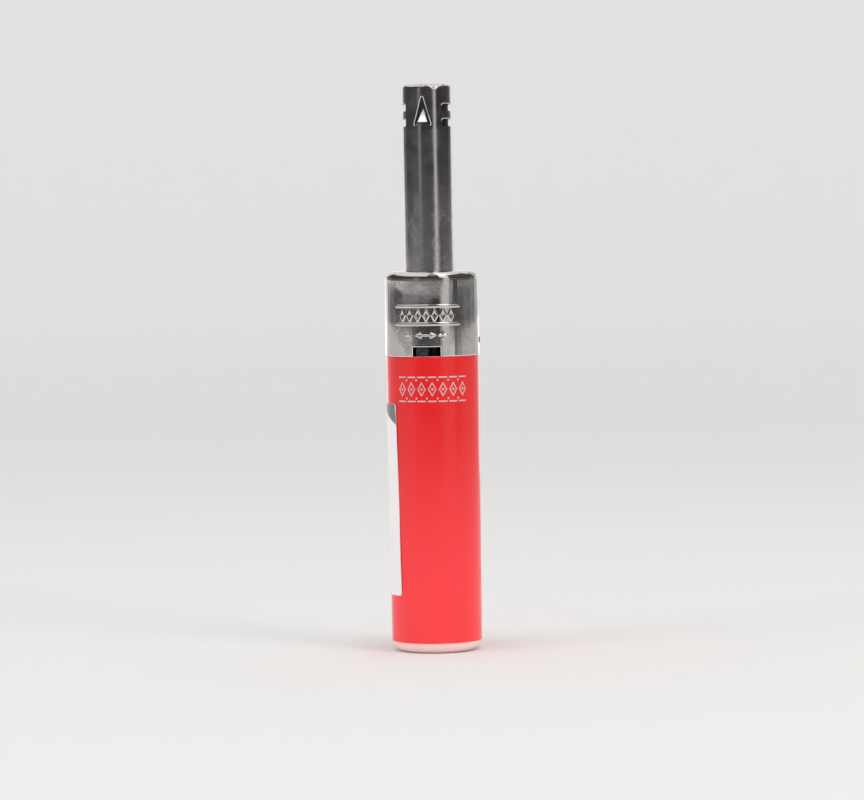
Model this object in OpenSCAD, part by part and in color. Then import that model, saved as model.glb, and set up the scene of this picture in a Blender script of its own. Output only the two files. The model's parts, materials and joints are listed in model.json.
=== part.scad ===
// Refillable butane torch: round tank in a coloured sleeve, steel hood and a slim flame tube.
// The axis of the body is Z, the foot stands on z = 0, and the adjuster and tube face -Y.

/* [Body] */
// Height from the foot to the mouth of the flame tube
total_h = 96.3; // [95:0.1:104]
// Height of the seam between sleeve and hood
seam_z = 50.4; // [48:0.1:52]
// Diameter of the sleeve at its upper end
sleeve_top_d = 15.8; // [15.7:0.05:15.85]
// Diameter of the sleeve at its lower end
sleeve_foot_d = 15.4; // [15.3:0.05:15.5]
// Thickness of the coloured sleeve
sleeve_t = 0.15; // [0.1:0.01:0.2]
// Height of the clear base rim under the sleeve
rim_h = 1.7; // [1.6:0.05:2.2]
// Radius of the rounded corner round the base
base_corner_r = 1.5; // [1:0.1:1.55]
// Wall of the gas tank
tank_wall = 1; // [0.9:0.05:1.05]

/* [Hood] */
// Diameter of the hood at its lower edge
hood_foot_d = 16.06; // [16:0.02:16.2]
// Diameter of the hood under its shoulder
hood_top_d = 15.87; // [15.8:0.01:16]
// Height of the hood
hood_h = 14.3; // [14.2:0.1:15]
// Thickness of the hood's sheet steel
hood_t = 0.35; // [0.3:0.01:0.38]
// Radius of the rounded shoulder
shoulder_r = 1.15; // [1:0.05:1.2]
// Width of the adjuster's notch
notch_w = 4.85; // [4.8:0.05:5.4]
// Height of the adjuster's notch
notch_h = 1.65; // [1.5:0.01:1.7]
// Width of the thumb button's window
window_w = 6.8; // [6.7:0.1:6.9]

/* [Flame tube] */
// Outside diameter of the flame tube
tube_d = 8.35; // [8.3:0.05:8.5]
// Wall of the flame tube
tube_t = 0.38; // [0.34:0.01:0.42]
// How far the tube stands in front of the body's axis
tube_off = 2.25; // [2.2:0.05:2.3]
// Radius of the rolled lip
lip_r = 0.85; // [0.7:0.05:1]
// Diameter of the mouth inside the lip
mouth_d = 6.2; // [6:0.1:6.4]
// Height of the opening round the air tongue
opening_h = 4.9; // [4.5:0.05:5]
// Width of the opening at its foot
opening_w = 3; // [2.8:0.1:3.4]
// Width of the opening's rounded feet
opening_gap = 0.5; // [0.4:0.05:0.55]
// Length of the air tongue
tongue_len = 2.8; // [2.4:0.05:3.2]
// Width of the air tongue at its foot
tongue_w = 1.7; // [1.4:0.05:1.8]
// Angle that the air tongue is bent in
tongue_tilt = 28; // [15:1:45]
// Arc of each side air slot
slot_arc = 68; // [60:1:72]
// Angle that the pierced end is turned by, from the front
tube_turn = -4.2; // [-6:0.2:6]

/* [Controls] */
// Travel of the thumb button
press_travel = 4; // [3:0.1:4]
// Tilt of the gas lever at full travel
lever_tilt = 14; // [10:0.5:14]
// Angle that the flame adjuster is set to, from the middle of its notch
adjuster_set = -8; // [-14:1:14]
// How far the thumb pad bulges from the body's axis
pad_r = 9.8; // [9.2:0.1:10]

/* [Hidden] */
$fn = 64;

eps = 0.02;        // clearance between pieces that are pressed or moulded together
slip = 0.05;       // clearance of a running fit
cut = 1;           // how far a cutter runs past the face that it opens

// Tank
sleeve_top_r = sleeve_top_d / 2;
sleeve_foot_r = sleeve_foot_d / 2;
foot_out_r = sleeve_foot_r - base_corner_r;
foot_in_r = 4.9;
groove_d = 0.8;
floor_z = 2.3;
boss_r = 3;
boss_h = 9;
lid_t = 2;
lid_z = seam_z - lid_t;
mouth_wall = 0.75;
mouth_r = sleeve_top_r - sleeve_t - mouth_wall - eps;
label_z = [9.3, 42.4];
label_t = 0.1;
label_arc = [-163, -43];     // degrees round the body from the front, to the left
peg_r = 0.6;
peg_h = 1.2;
peg_x = 5.1;

// Refill valve in the base
inlet_r = 1.5;
inlet_h = 2.6;
inlet_flange_r = 2.6;
inlet_flange_h = 0.6;
inlet_body_r = 2;
inlet_seat_z = 3.4;
inlet_top_z = 8.8;

// Igniter, in a pocket of the lid behind the axis
piezo_y = 3.7;
piezo_w = 5;
piezo_d = 4;
piezo_top = seam_z - 0.6;
piezo_h = 23;
piezo_foot = piezo_top - piezo_h;
pocket_wall = 0.5;
pocket_gap = 0.05;
pocket_r = 6.5;
ram_w = 3.2;
ram_d = 2.2;
ram_gap = 0.1;
ram_foot = seam_z - 6.8;
ram_bore_r = 0.9;
ram_bore_top = seam_z + 3;
ram_head_w = 4.4;
ram_head_d = 3.4;
ram_head_z = [seam_z + 4.5, seam_z + 9.4];
hammer_r = 0.85;
hammer_z = [seam_z - 12.4, seam_z - 7.6];
anvil_z = seam_z - 14.5;
anvil_t = 0.8;
crystal_r = 1.15;
crystal_foot = piezo_foot + 2.6;
chamber_r = 1.25;
wire_r = 0.25;
wire_notch = 0.6;

// Gas valve, under the flame tube
valve_y = -tube_off;
valve_bore_r = 2;
valve_boss_r = 3;
valve_boss_h = 5.4;
valve_floor = seam_z - 6.6;
restrictor_t = 0.78;
housing_foot = seam_z - 5.6;
housing_top = seam_z + 1.7;
housing_bore_r = 1.15;
key_r = 2.2;
ring_r = 2.7;
ring_z = [seam_z + 0.35, seam_z + 1.4];
gasket_z = seam_z - 2.8;
gasket_r = 1.7;
gasket_wire_r = 0.27;
jet_r = 0.65;
jet_foot = seam_z - 4.4;
jet_collar_z = seam_z + 5.25;
jet_collar_t = 0.6;
jet_collar_r = 1.4;
nipple_r = 0.5;
nipple_top = seam_z + 8.9;
jet_bore_r = 0.25;
adjuster_reach = 5.72;
adjuster_w = 1.9;

// Gas lever
pivot_y = 0.25;
pivot_z = seam_z + 4.7;
pin_r = 0.5;
pin_half = 5.2;
hub_r = 0.95;
fork_in = 0.8;
fork_out = 1.4;
cam_start = 0.3;             // depth of the button's leg under the pivot at rest
cam_gap = 0.06;
tail_half = 1.2;

// Thumb button
leg_y = 1.3;
leg_t = 0.65;
leg_half = 1.4;
button_half = 2.6;
button_back = 5.4;
pad_half = window_w / 2 - 0.2;
pad_foot = seam_z + 6.8;
pad_in_r = 6.9;
back_wall_r = [6.1, 6.8];
back_wall_top = seam_z + 7.3;
window_foot = seam_z + 2.6;
window_front = 3.45;

// Hood and head frame
hood_foot_r = hood_foot_d / 2;
hood_top_r = hood_top_d / 2;
hood_top = seam_z + hood_h;
frame_r = 7.45;
frame_in_r = 6.55;
frame_top = hood_top - 0.9;
deck_t = 1.2;
lug_angle = 97;
lug_z = seam_z + 2.5;
lug_w = 1.8;
lug_h = 0.9;
lug_out = 0.63;

// Flame tube and burner
tube_r = tube_d / 2;
tube_in_r = tube_r - tube_t;
flange_r = 4.9;
flange_t = 0.45;
opening_foot = total_h - 7;
slot_low = total_h - 7.15;
slot_high = total_h - 4.58;
slot_hs = [1.3, 1.27];
slot_side = 79;
petals = 6;
petal_turn = -6;
holder_z = total_h - 16.5;
holder_h = 4;
holder_r = tube_in_r - eps * 2;
hose_r = 1;
hose_in_r = 0.55;
hose_foot = seam_z + 6.6;
hose_top = holder_z + 2.5;
nozzle_top = total_h - 7.8;
air_hole_r = 0.75;
air_hole_at = 2.85;
electrode_r = 0.3;

// Radius of the sleeve, and of the tank under it, at a height
function sleeve_r(z) =
    sleeve_foot_r + (sleeve_top_r - sleeve_foot_r) * (z - rim_h) / (seam_z - rim_h);
function tank_r(z) = sleeve_r(z) - sleeve_t - eps;

// Point of the lever's cam, from the pivot, that the button's leg touches after a travel of s
function cam_point(s) =
    let(a = lever_tilt * s / press_travel, y = leg_y - cam_gap - pivot_y, z = -cam_start - s)
    [y * cos(a) - z * sin(a), z * cos(a) + y * sin(a)];

// Height of a spring's wire after t turns, with its first and last turns closed
function coil_z(t, turns, rise, wire_d) =
    t < 1 ? wire_d * t
    : t > turns - 1 ? rise - wire_d * (turns - t)
    : wire_d + (t - 1) * (rise - 2 * wire_d) / (turns - 2);

module disc(r, z0, z1) {
    translate([0, 0, z0]) cylinder(r = r, h = z1 - z0);
}

module block(x, y, z) {
    translate([x[0], y[0], z[0]]) cube([x[1] - x[0], y[1] - y[0], z[1] - z[0]]);
}

module ring(r_in, r_out, z0, z1) {
    difference() {
        disc(r_out, z0, z1);
        disc(r_in, z0 - cut, z1 + cut);
    }
}

// Sector of a ring, between two angles from the front, positive towards +X
module sector(r_in, r_out, z0, z1, from, to) {
    rotate([0, 0, from - 90]) rotate_extrude(angle = to - from)
        translate([r_in, z0]) square([r_out - r_in, z1 - z0]);
}

// Plate drawn in the YZ plane and running along X
module side_plate(x0, x1) {
    translate([x0, 0, 0]) rotate([90, 0, 90]) linear_extrude(x1 - x0) children();
}

// Plate drawn in the XZ plane and running along Y
module front_plate(y0, y1) {
    translate([0, y1, 0]) rotate([90, 0, 0]) linear_extrude(y1 - y0) children();
}

// Closed skin over n + 1 rings of points
module tube_skin(points, sides, n) {
    skin = [for (i = [0 : n - 1], j = [0 : sides - 1], half = [0, 1])
        let(k = (j + 1) % sides, a = i * sides + j, b = (i + 1) * sides + k)
        half == 0 ? [a, i * sides + k, b] : [a, b, (i + 1) * sides + j]];
    ends = [[for (j = [sides - 1 : -1 : 0]) j], [for (j = [0 : sides - 1]) n * sides + j]];
    polyhedron(points, concat(skin, ends));
}

// Round bar along a route that runs mostly up, mitred at each bend
module bent_rod(route, r) {
    sides = 10;
    last = len(route) - 1;
    points = [for (i = [0 : last])
        let(t = route[min(i + 1, last)] - route[max(i - 1, 0)], along = t / norm(t),
            across = cross([0, 1, 0], along), u = across / norm(across), v = cross(along, u))
        for (j = [0 : sides - 1]) route[i] + r * (cos(360 * j / sides) * u + sin(360 * j / sides) * v)];
    tube_skin(points, sides, last);
}

module o_ring(r, wire_r, z) {
    rotate_extrude() translate([r, z]) circle(wire_r);
}

module coil_spring(mean_r, wire_d, z0, z1, turns) {
    sides = 6;
    steps = 12;
    n = turns * steps;
    rise = z1 - z0 - wire_d;
    points = [for (i = [0 : n], j = [0 : sides - 1])
        let(a = 360 * i / steps, b = 360 * j / sides, r = mean_r + cos(b) * wire_d / 2)
        [r * cos(a), r * sin(a),
            z0 + wire_d / 2 + coil_z(i / steps, turns, rise, wire_d) + sin(b) * wire_d / 2]];
    tube_skin(points, sides, n);
}

module reservoir() {
    color("mistyrose") difference() {
        rotate_extrude() difference() {
            union() {
                polygon([[0, base_corner_r], [sleeve_foot_r, base_corner_r],
                    [sleeve_foot_r, rim_h - eps], [tank_r(rim_h), rim_h - eps],
                    [tank_r(seam_z), seam_z], [0, seam_z]]);
                square([foot_out_r, base_corner_r + eps]);
                intersection() {
                    translate([foot_out_r, base_corner_r]) circle(base_corner_r);
                    square([sleeve_foot_r, base_corner_r]);
                }
            }
            polygon([[boss_r, floor_z], [tank_r(floor_z) - tank_wall, floor_z],
                [tank_r(lid_z) - tank_wall, lid_z], [mouth_r, lid_z], [mouth_r, seam_z + cut],
                [0, seam_z + cut], [0, boss_h], [boss_r, boss_h]]);
            translate([boss_r + 0.2, -cut]) square([foot_in_r - boss_r - 0.2, groove_d + cut]);
        }
        disc(inlet_body_r, -cut, boss_h + cut);
        disc(inlet_flange_r, -cut, inlet_flange_h);
    }
}

module colour_sleeve() {
    color("crimson") rotate_extrude()
        polygon([[sleeve_foot_r - sleeve_t, rim_h], [sleeve_foot_r, rim_h],
            [sleeve_top_r, seam_z - 0.05], [sleeve_top_r - sleeve_t, seam_z - 0.05]]);
}

module blank_label() {
    color("white") rotate([0, 0, label_arc[0] - 90])
        rotate_extrude(angle = label_arc[1] - label_arc[0])
            polygon([for (z = label_z) [sleeve_r(z) + eps, z],
                for (z = [label_z[1], label_z[0]]) [sleeve_r(z) + label_t, z]]);
}

module piezo_box(grow, z0, z1) {
    block([-piezo_w / 2 - grow, piezo_w / 2 + grow],
        [piezo_y - piezo_d / 2 - grow, piezo_y + piezo_d / 2 + grow], [z0, z1]);
}

module tank_lid() {
    color("ghostwhite") difference() {
        union() {
            disc(mouth_r - eps, lid_z + eps, seam_z);
            translate([0, valve_y, 0]) disc(valve_boss_r, lid_z - valve_boss_h, seam_z - cut);
            intersection() {
                piezo_box(pocket_gap + pocket_wall, piezo_foot - cut, seam_z - cut);
                disc(pocket_r, piezo_foot - cut, seam_z);
            }
        }
        translate([0, valve_y, 0]) {
            disc(valve_bore_r, valve_floor, seam_z + cut);
            disc(0.5, 0, seam_z);
        }
        piezo_box(pocket_gap, piezo_foot - cut / 2, seam_z + cut);
        for (side = [-1, 1]) translate([side * peg_x, pivot_y, 0])
            disc(peg_r + eps, seam_z - peg_h, seam_z + cut);
    }
}

module refill_valve_body() {
    color("gold") difference() {
        union() {
            disc(inlet_flange_r - eps, 0, inlet_flange_h - eps);
            disc(inlet_body_r - eps, 0, inlet_top_z);
        }
        disc(inlet_r, -cut, inlet_h);
        disc(0.6, 0, inlet_seat_z + cut);
        disc(1.4, inlet_seat_z, inlet_top_z - 0.6);
        disc(0.7, inlet_seat_z, inlet_top_z + cut);
    }
}

module refill_seal() {
    color("dimgray") o_ring(0.95, 0.27, inlet_seat_z + 0.29);
}

module refill_poppet() {
    color("silver") {
        disc(0.5, inlet_h + 0.1, inlet_seat_z + 0.7);
        disc(1.1, inlet_seat_z + 0.6, inlet_seat_z + 1.2);
        disc(0.45, inlet_seat_z + 1.1, inlet_seat_z + 3.6);
    }
}

module refill_spring() {
    color("lightsteelblue")
        coil_spring(0.85, 0.25, inlet_seat_z + 1.22, inlet_top_z - 0.62, 5);
}

module valve_housing() {
    color("goldenrod") translate([0, valve_y, 0]) difference() {
        union() {
            disc(valve_bore_r - slip, housing_foot, seam_z + eps);
            disc(key_r + 0.25, seam_z + eps, ring_z[0] - eps);
            translate([0, 0, seam_z + eps]) cylinder(r = key_r, h = housing_top - seam_z - eps, $fn = 8);
        }
        ring(gasket_r - 0.3, valve_bore_r + cut, gasket_z - 0.35, gasket_z + 0.35);
        disc(housing_bore_r, housing_foot + 0.6, housing_top - 0.7);
        disc(0.3, housing_foot - cut, housing_foot + cut);
        disc(jet_r + slip, housing_foot + cut, housing_top + cut);
    }
}

module valve_gasket() {
    color("dimgray") translate([0, valve_y, 0]) o_ring(gasket_r, gasket_wire_r, gasket_z);
}

module flow_restrictor() {
    color("wheat") translate([0, valve_y, 0])
        disc(1.7, valve_floor + eps, valve_floor + eps + restrictor_t);
}

module flame_adjuster() {
    half = adjuster_w / 2;
    color("black") translate([0, valve_y, 0]) rotate([0, 0, adjuster_set]) difference() {
        union() {
            disc(ring_r, ring_z[0], ring_z[1]);
            ring(key_r + 0.3, ring_r, seam_z + 3 * eps, ring_z[0] + eps);
            block([-half, half], [-adjuster_reach, -1], ring_z);
            sector(adjuster_reach - 1, adjuster_reach, ring_z[0] - 0.15, ring_z[1] + 0.02, -9.5, 9.5);
        }
        rotate([0, 0, -adjuster_set])
            translate([0, 0, seam_z]) cylinder(r = key_r + eps, h = 3, $fn = 8);
        for (a = [-6 : 3 : 6]) rotate([0, 0, a]) translate([0, -adjuster_reach - 0.05, 0])
            disc(0.13, ring_z[0] - cut, ring_z[1] + cut);
    }
}

module jet_stem() {
    color("goldenrod") translate([0, valve_y, 0]) difference() {
        union() {
            disc(housing_bore_r - 0.1, jet_foot, jet_foot + 0.6);
            disc(jet_r, jet_foot, jet_collar_z + 0.1);
            disc(jet_collar_r, jet_collar_z, jet_collar_z + jet_collar_t);
            disc(nipple_r, jet_collar_z, nipple_top);
        }
        disc(jet_bore_r, jet_foot + 1.1, nipple_top + cut);
        translate([0, 0, jet_foot + 1.3]) rotate([0, 90, 0])
            cylinder(r = 0.18, h = 2 * jet_r + cut, center = true);
    }
}

module jet_seal() {
    color("dimgray") translate([0, valve_y, 0]) disc(0.8, housing_foot + 0.6 + eps, jet_foot);
}

module jet_spring() {
    color("lightsteelblue") translate([0, valve_y, 0])
        coil_spring(0.9, 0.22, jet_foot + 0.6 + eps, housing_top - 0.7 - eps, 7);
}

module head_frame() {
    color("black") difference() {
        union() {
            ring(frame_in_r, frame_r, seam_z + eps, frame_top);
            disc(frame_in_r + eps, frame_top - deck_t, frame_top);
            intersection() {
                disc(frame_in_r + eps, seam_z, hood_top);
                for (side = [0, 1]) mirror([side, 0, 0])
                    block([4, frame_r], [pivot_y - 1.1, pivot_y + 1.1], [seam_z + eps, pivot_z + 1.1]);
            }
            intersection() {
                ring(back_wall_r[0], frame_in_r + eps, seam_z + eps, back_wall_top);
                block([-4, 4], [0, frame_r], [seam_z, hood_top]);
            }
            for (side = [-1, 1]) {
                rotate([0, 0, side * lug_angle]) front_plate(-frame_r - lug_out, -frame_r + 0.3)
                    translate([-lug_w / 2, lug_z - lug_h / 2]) square([lug_w, lug_h]);
                translate([side * peg_x, pivot_y, 0]) disc(peg_r, seam_z - peg_h + eps, seam_z + cut);
            }
        }
        // Way for the adjuster's lever
        block([-3.2, 3.2], [-frame_r - cut, -frame_in_r / 2], [seam_z - 2, seam_z + 1.75]);
        // Way for the thumb pad, in front of the back wall
        intersection() {
            ring(back_wall_r[1], frame_r + cut, window_foot - 0.1, hood_top);
            block([-window_w / 2, window_w / 2], [0, frame_r + cut], [seam_z, hood_top]);
        }
        // Way for the button's bridge, above the back wall
        block([-3.1, 3.1], [leg_y - 0.2, frame_r + cut], [back_wall_top, hood_top]);
        translate([0, valve_y, 0]) disc(tube_in_r - 0.2, frame_top - 2 * deck_t, hood_top);
        translate([0, pivot_y, pivot_z]) rotate([0, 90, 0])
            cylinder(r = pin_r + 0.01, h = 2 * pin_half + 2 * eps, center = true);
        // Ways for the spark wire and the ground strap through the deck
        block([-3.9, 3.9], [-0.2, 1.9], [frame_top - 2 * deck_t, hood_top]);
    }
}

module gas_lever() {
    bump = 0.3;
    color("silver") translate([0, pivot_y, pivot_z]) difference() {
        union() {
            side_plate(-fork_out, fork_out) circle(hub_r);
            side_plate(-tail_half, tail_half)
                polygon([for (i = [0 : 8]) cam_point(press_travel * i / 8),
                    [cam_point(press_travel).x - 0.05, -4.2], [cam_point(press_travel).x - 0.6, -4.2],
                    [0.1, -hub_r + 0.1], [0.1, 0]]);
            for (side = [0, 1]) mirror([side, 0, 0]) side_plate(fork_in, fork_out) {
                polygon([[-0.2, 0.9], [-1.2, 0.45], [valve_y - pivot_y, 0.45], [-3.4, 0.1],
                    [-3.4, -0.3], [valve_y - pivot_y, -0.45], [-0.4, -0.82]]);
                translate([valve_y - pivot_y, 0.2]) circle(bump);
            }
        }
        rotate([0, 90, 0]) cylinder(r = pin_r + slip, h = 4 * fork_out, center = true);
    }
}

module lever_pin() {
    color("lightgray") translate([0, pivot_y, pivot_z]) rotate([0, 90, 0])
        cylinder(r = pin_r, h = 2 * pin_half, center = true);
}

module thumb_button() {
    grip_r = 5.2;
    grip_z = (pad_foot + hood_top) / 2;
    bridge_z = back_wall_top + press_travel + 0.1;
    color("black") {
        // Thumb pad with its grip grooves
        intersection() {
            rotate_extrude() difference() {
                intersection() {
                    translate([pad_r - grip_r, grip_z]) circle(grip_r);
                    translate([pad_in_r, pad_foot]) square([grip_r, hood_top - pad_foot]);
                }
                for (a = [-26 : 13 : 26]) translate([pad_r - grip_r, grip_z])
                    rotate(a) translate([grip_r + 0.06, 0]) circle(0.3);
            }
            block([-pad_half, pad_half], [0, pad_r + cut], [pad_foot - cut, hood_top + cut]);
        }
        // Bridge and roof, with a hollow from below
        difference() {
            union() {
                block([-button_half - 0.3, button_half + 0.3],
                    [window_front + 0.2, pad_in_r + 0.3], [bridge_z, hood_top]);
                block([-button_half, button_half], [leg_y, button_back],
                    [ram_head_z[1], frame_top - 0.5]);
            }
            block([-button_half + 0.6, button_half - 0.6], [leg_y + leg_t, button_back - 0.6],
                [ram_head_z[1] - cut, hood_top - 1.8]);
        }
        // Cross rib that bears on the igniter's ram
        block([-0.4, 0.4], [leg_y + 0.2, button_back - 0.2], [ram_head_z[1], hood_top - cut]);
        block([-button_half + 0.2, button_half - 0.2], [piezo_y - 0.4, piezo_y + 0.4],
            [ram_head_z[1], hood_top - cut]);
        // Leg that works the gas lever's cam
        block([-leg_half, leg_half], [leg_y, leg_y + leg_t],
            [pivot_z - cam_start, frame_top - 0.5]);
    }
}

// Outline of the hood's half section, drawn in by its thickness where grow is negative
module hood_outline(grow) {
    corner = shoulder_r + grow;
    centre = [hood_top_r - shoulder_r, hood_top - shoulder_r];
    polygon([[0, seam_z - (grow < 0 ? cut : 0)], [hood_foot_r + grow, seam_z - (grow < 0 ? cut : 0)],
        [centre.x + corner, centre.y], [0, centre.y]]);
    translate([0, centre.y - eps]) square([centre.x, corner + eps]);
    translate(centre) circle(corner);
}

module hood() {
    window_corner = 0.9;
    color("gainsboro") difference() {
        rotate_extrude() difference() {
            intersection() {
                hood_outline(0);
                translate([0, seam_z]) square([hood_foot_d, hood_h]);
            }
            hood_outline(-hood_t);
        }
        translate([0, valve_y, 0]) disc(tube_r + slip, seam_z, hood_top + cut);
        front_plate(-hood_foot_d, -hood_top_r / 2) translate([-notch_w / 2, seam_z - cut])
            square([notch_w, notch_h + cut]);
        front_plate(window_front, hood_foot_d) {
            translate([-window_w / 2, window_foot + window_corner]) square([window_w, hood_h]);
            for (side = [-1, 1])
                translate([side * (window_w / 2 - window_corner), window_foot + window_corner])
                    circle(window_corner);
            translate([-window_w / 2 + window_corner, window_foot])
                square([window_w - 2 * window_corner, hood_h]);
        }
        for (side = [-1, 1]) rotate([0, 0, side * lug_angle]) front_plate(-hood_foot_d, -frame_in_r)
            translate([-lug_w / 2 - 0.15, lug_z - lug_h / 2 - 0.1]) square([lug_w + 0.3, lug_h + 0.25]);
    }
}

module piezo_case() {
    color("whitesmoke") difference() {
        piezo_box(0, piezo_foot, piezo_top);
        translate([0, piezo_y, 0]) {
            block([-ram_w / 2 - ram_gap, ram_w / 2 + ram_gap], [-ram_d / 2 - ram_gap, ram_d / 2 + ram_gap],
                [anvil_z + 0.8, piezo_top + cut]);
            disc(hammer_r + 0.1, anvil_z - cut, anvil_z + cut);
            disc(chamber_r, piezo_foot - cut, anvil_z);
        }
        block([-piezo_w / 2 - cut, wire_notch - piezo_w / 2],
            [piezo_y - piezo_d / 2 - cut, piezo_y - piezo_d / 2 + wire_notch],
            [piezo_foot - cut, piezo_top + cut]);
        // Side windows over the ram
        block([-piezo_w, piezo_w], [piezo_y - 0.5, piezo_y + 0.5], [piezo_top - 9, piezo_top - 3]);
    }
}

module piezo_plunger() {
    color("whitesmoke") translate([0, piezo_y, 0]) difference() {
        union() {
            block([-ram_w / 2, ram_w / 2], [-ram_d / 2, ram_d / 2], [ram_foot, ram_head_z[0] + 0.1]);
            block([-ram_head_w / 2, ram_head_w / 2], [-ram_head_d / 2, ram_head_d / 2], ram_head_z);
        }
        disc(ram_bore_r, ram_foot - cut, ram_bore_top);
    }
}

module piezo_hammer() {
    color("slategray") translate([0, piezo_y, 0]) {
        disc(hammer_r, hammer_z[0] + 0.4, hammer_z[1]);
        disc(hammer_r - 0.2, hammer_z[0], hammer_z[0] + 0.5);
    }
}

module hammer_spring() {
    color("lightsteelblue") translate([0, piezo_y, 0])
        coil_spring(0.68, 0.26, hammer_z[1] + eps, ram_bore_top - eps, 9);
}

module return_spring() {
    color("lightsteelblue") translate([0, piezo_y, 0])
        coil_spring(1.03, 0.2, anvil_z + 0.8 + eps, ram_foot - eps, 8);
}

module strike_pad() {
    color("silver") translate([0, piezo_y, 0]) disc(crystal_r, anvil_z - anvil_t, anvil_z - 0.05);
}

module piezo_crystal() {
    color("beige") translate([0, piezo_y, 0])
        disc(crystal_r, crystal_foot + eps, anvil_z - anvil_t - eps);
}

module contact_cap() {
    color("goldenrod") {
        translate([0, piezo_y, 0]) disc(crystal_r, piezo_foot - 0.1, crystal_foot);
        piezo_box(-0.1, piezo_foot - 0.42, piezo_foot - eps);
    }
}

module spark_wire() {
    corner = [(wire_notch - piezo_w) / 2, piezo_y - (piezo_d - wire_notch) / 2];
    air_x = -air_hole_at * cos(45);
    air_y = valve_y + air_hole_at * sin(45);
    color("firebrick") bent_rod([[corner.x, corner.y, piezo_foot + eps],
        [corner.x, corner.y, seam_z + 0.05], [-3.4, 1.2, seam_z + 1.2], [-3.4, 1.15, seam_z + 10],
        [air_x, air_y, seam_z + 12.6], [air_x, air_y, holder_z + holder_h - 0.3]], wire_r);
}

module ground_strap() {
    strap_t = 0.15;
    color("darkgoldenrod") {
        block([3.35, 3.35 + strap_t], [0.95, 1.75], [seam_z + eps, frame_top - eps]);
        block([2.65, 3.4], [0.95, 1.75], [seam_z + eps, seam_z + eps + strap_t]);
    }
}

// Half section of the tube, closed at its lip, drawn in by the wall where grow is negative
module tube_outline(grow) {
    corner = lip_r + grow;
    centre = [tube_r - lip_r, total_h - lip_r];
    foot = frame_top - (grow < 0 ? cut : 0);
    translate([0, foot]) square([tube_r + grow, centre.y - foot]);
    translate([0, centre.y - eps]) square([centre.x, corner + eps]);
    translate(centre) circle(corner);
}

// Upright triangle on a straight foot
module spike(half_w, h) {
    polygon([[-half_w, 0], [half_w, 0], [0, h]]);
}

module flame_tube() {
    opening_half = opening_w / 2;
    hinge_y = -tube_r + tube_t / 2;
    color("silver") translate([0, valve_y, 0]) {
        difference() {
            rotate_extrude() difference() {
                union() {
                    tube_outline(0);
                    translate([0, frame_top]) square([flange_r, flange_t]);
                }
                tube_outline(-tube_t);
                square([mouth_d / 2, total_h + cut]);
            }
            for (middle = [tube_turn - slot_side, tube_turn + slot_side]) {
                sector(tube_in_r - cut / 2, tube_r + cut, slot_low, slot_low + slot_hs[0],
                    middle - slot_arc / 2, middle + slot_arc / 2);
                sector(tube_in_r - cut / 2, tube_r + cut, slot_high, slot_high + slot_hs[1],
                    middle - slot_arc / 2, middle + slot_arc / 2);
            }
            rotate([0, 0, tube_turn]) front_plate(-tube_d, -tube_in_r + cut) {
                translate([0, opening_foot + opening_gap / 2])
                    spike(opening_half, opening_h - opening_gap / 2);
                for (side = [-1, 1])
                    translate([side * (opening_half - opening_gap / 2), opening_foot + opening_gap / 2])
                        circle(opening_gap / 2);
            }
            for (k = [0 : petals - 1]) rotate([0, 0, petal_turn + k * 360 / petals])
                block([-0.1, 0.1], [-tube_r + lip_r * 0.55, 0], [total_h - lip_r * 0.75, total_h + cut]);
        }
        // Air tongue, bent in about its foot
        rotate([0, 0, tube_turn])
            translate([0, hinge_y, opening_foot + opening_gap / 2]) rotate([-tongue_tilt, 0, 0])
                translate([0, -hinge_y, 0]) intersection() {
                    ring(tube_in_r, tube_r, -0.12, opening_h);
                    front_plate(-tube_d, 0) translate([0, -0.3]) spike(tongue_w / 2, tongue_len + 0.3);
                }
    }
}

module gas_hose() {
    color("floralwhite") translate([0, valve_y, 0]) ring(hose_in_r, hose_r, hose_foot, hose_top);
}

module nozzle_holder() {
    color("black") translate([0, valve_y, 0]) difference() {
        disc(holder_r, holder_z, holder_z + holder_h);
        disc(hose_r + eps, holder_z - cut, hose_top + eps);
        disc(1.92, hose_top + eps, holder_z + holder_h + cut);
        for (a = [45 : 90 : 315]) rotate([0, 0, a]) translate([air_hole_at, 0, 0])
            disc(air_hole_r, holder_z - cut, holder_z + holder_h + cut);
    }
}

module burner_nozzle() {
    body_z = hose_top + 2 * eps;
    color("goldenrod") translate([0, valve_y, 0]) difference() {
        union() {
            disc(hose_in_r - eps, hose_top - 3, body_z + 0.1);
            disc(1.9, body_z, nozzle_top - 1.6);
            disc(2.3, nozzle_top - 1.8, nozzle_top);
        }
        disc(0.2, hose_top - 3 - cut, nozzle_top);
        disc(1.4, nozzle_top - 3.6, nozzle_top + cut);
        for (a = [0, 90]) rotate([0, 0, a]) translate([0, 0, nozzle_top - 3.1]) rotate([0, 90, 0])
            cylinder(r = 0.45, h = 5, center = true);
    }
}

module electrode() {
    foot = [-air_hole_at * cos(45), valve_y + air_hole_at * sin(45), holder_z + holder_h - 0.25];
    color("lightgray") bent_rod([foot, [foot.x, foot.y, nozzle_top + 0.9],
        [-0.9, valve_y + 0.9, nozzle_top + 2.1]], electrode_r);
}

reservoir();
colour_sleeve();
blank_label();
tank_lid();
refill_valve_body();
refill_seal();
refill_poppet();
refill_spring();
valve_housing();
valve_gasket();
flow_restrictor();
flame_adjuster();
jet_stem();
jet_seal();
jet_spring();
head_frame();
gas_lever();
lever_pin();
thumb_button();
hood();
piezo_case();
piezo_plunger();
piezo_hammer();
hammer_spring();
return_spring();
strike_pad();
piezo_crystal();
contact_cap();
spark_wire();
ground_strap();
flame_tube();
gas_hose();
nozzle_holder();
burner_nozzle();
electrode();
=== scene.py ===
import json
import math

import bmesh
import bpy
from mathutils import Matrix, Vector


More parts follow.
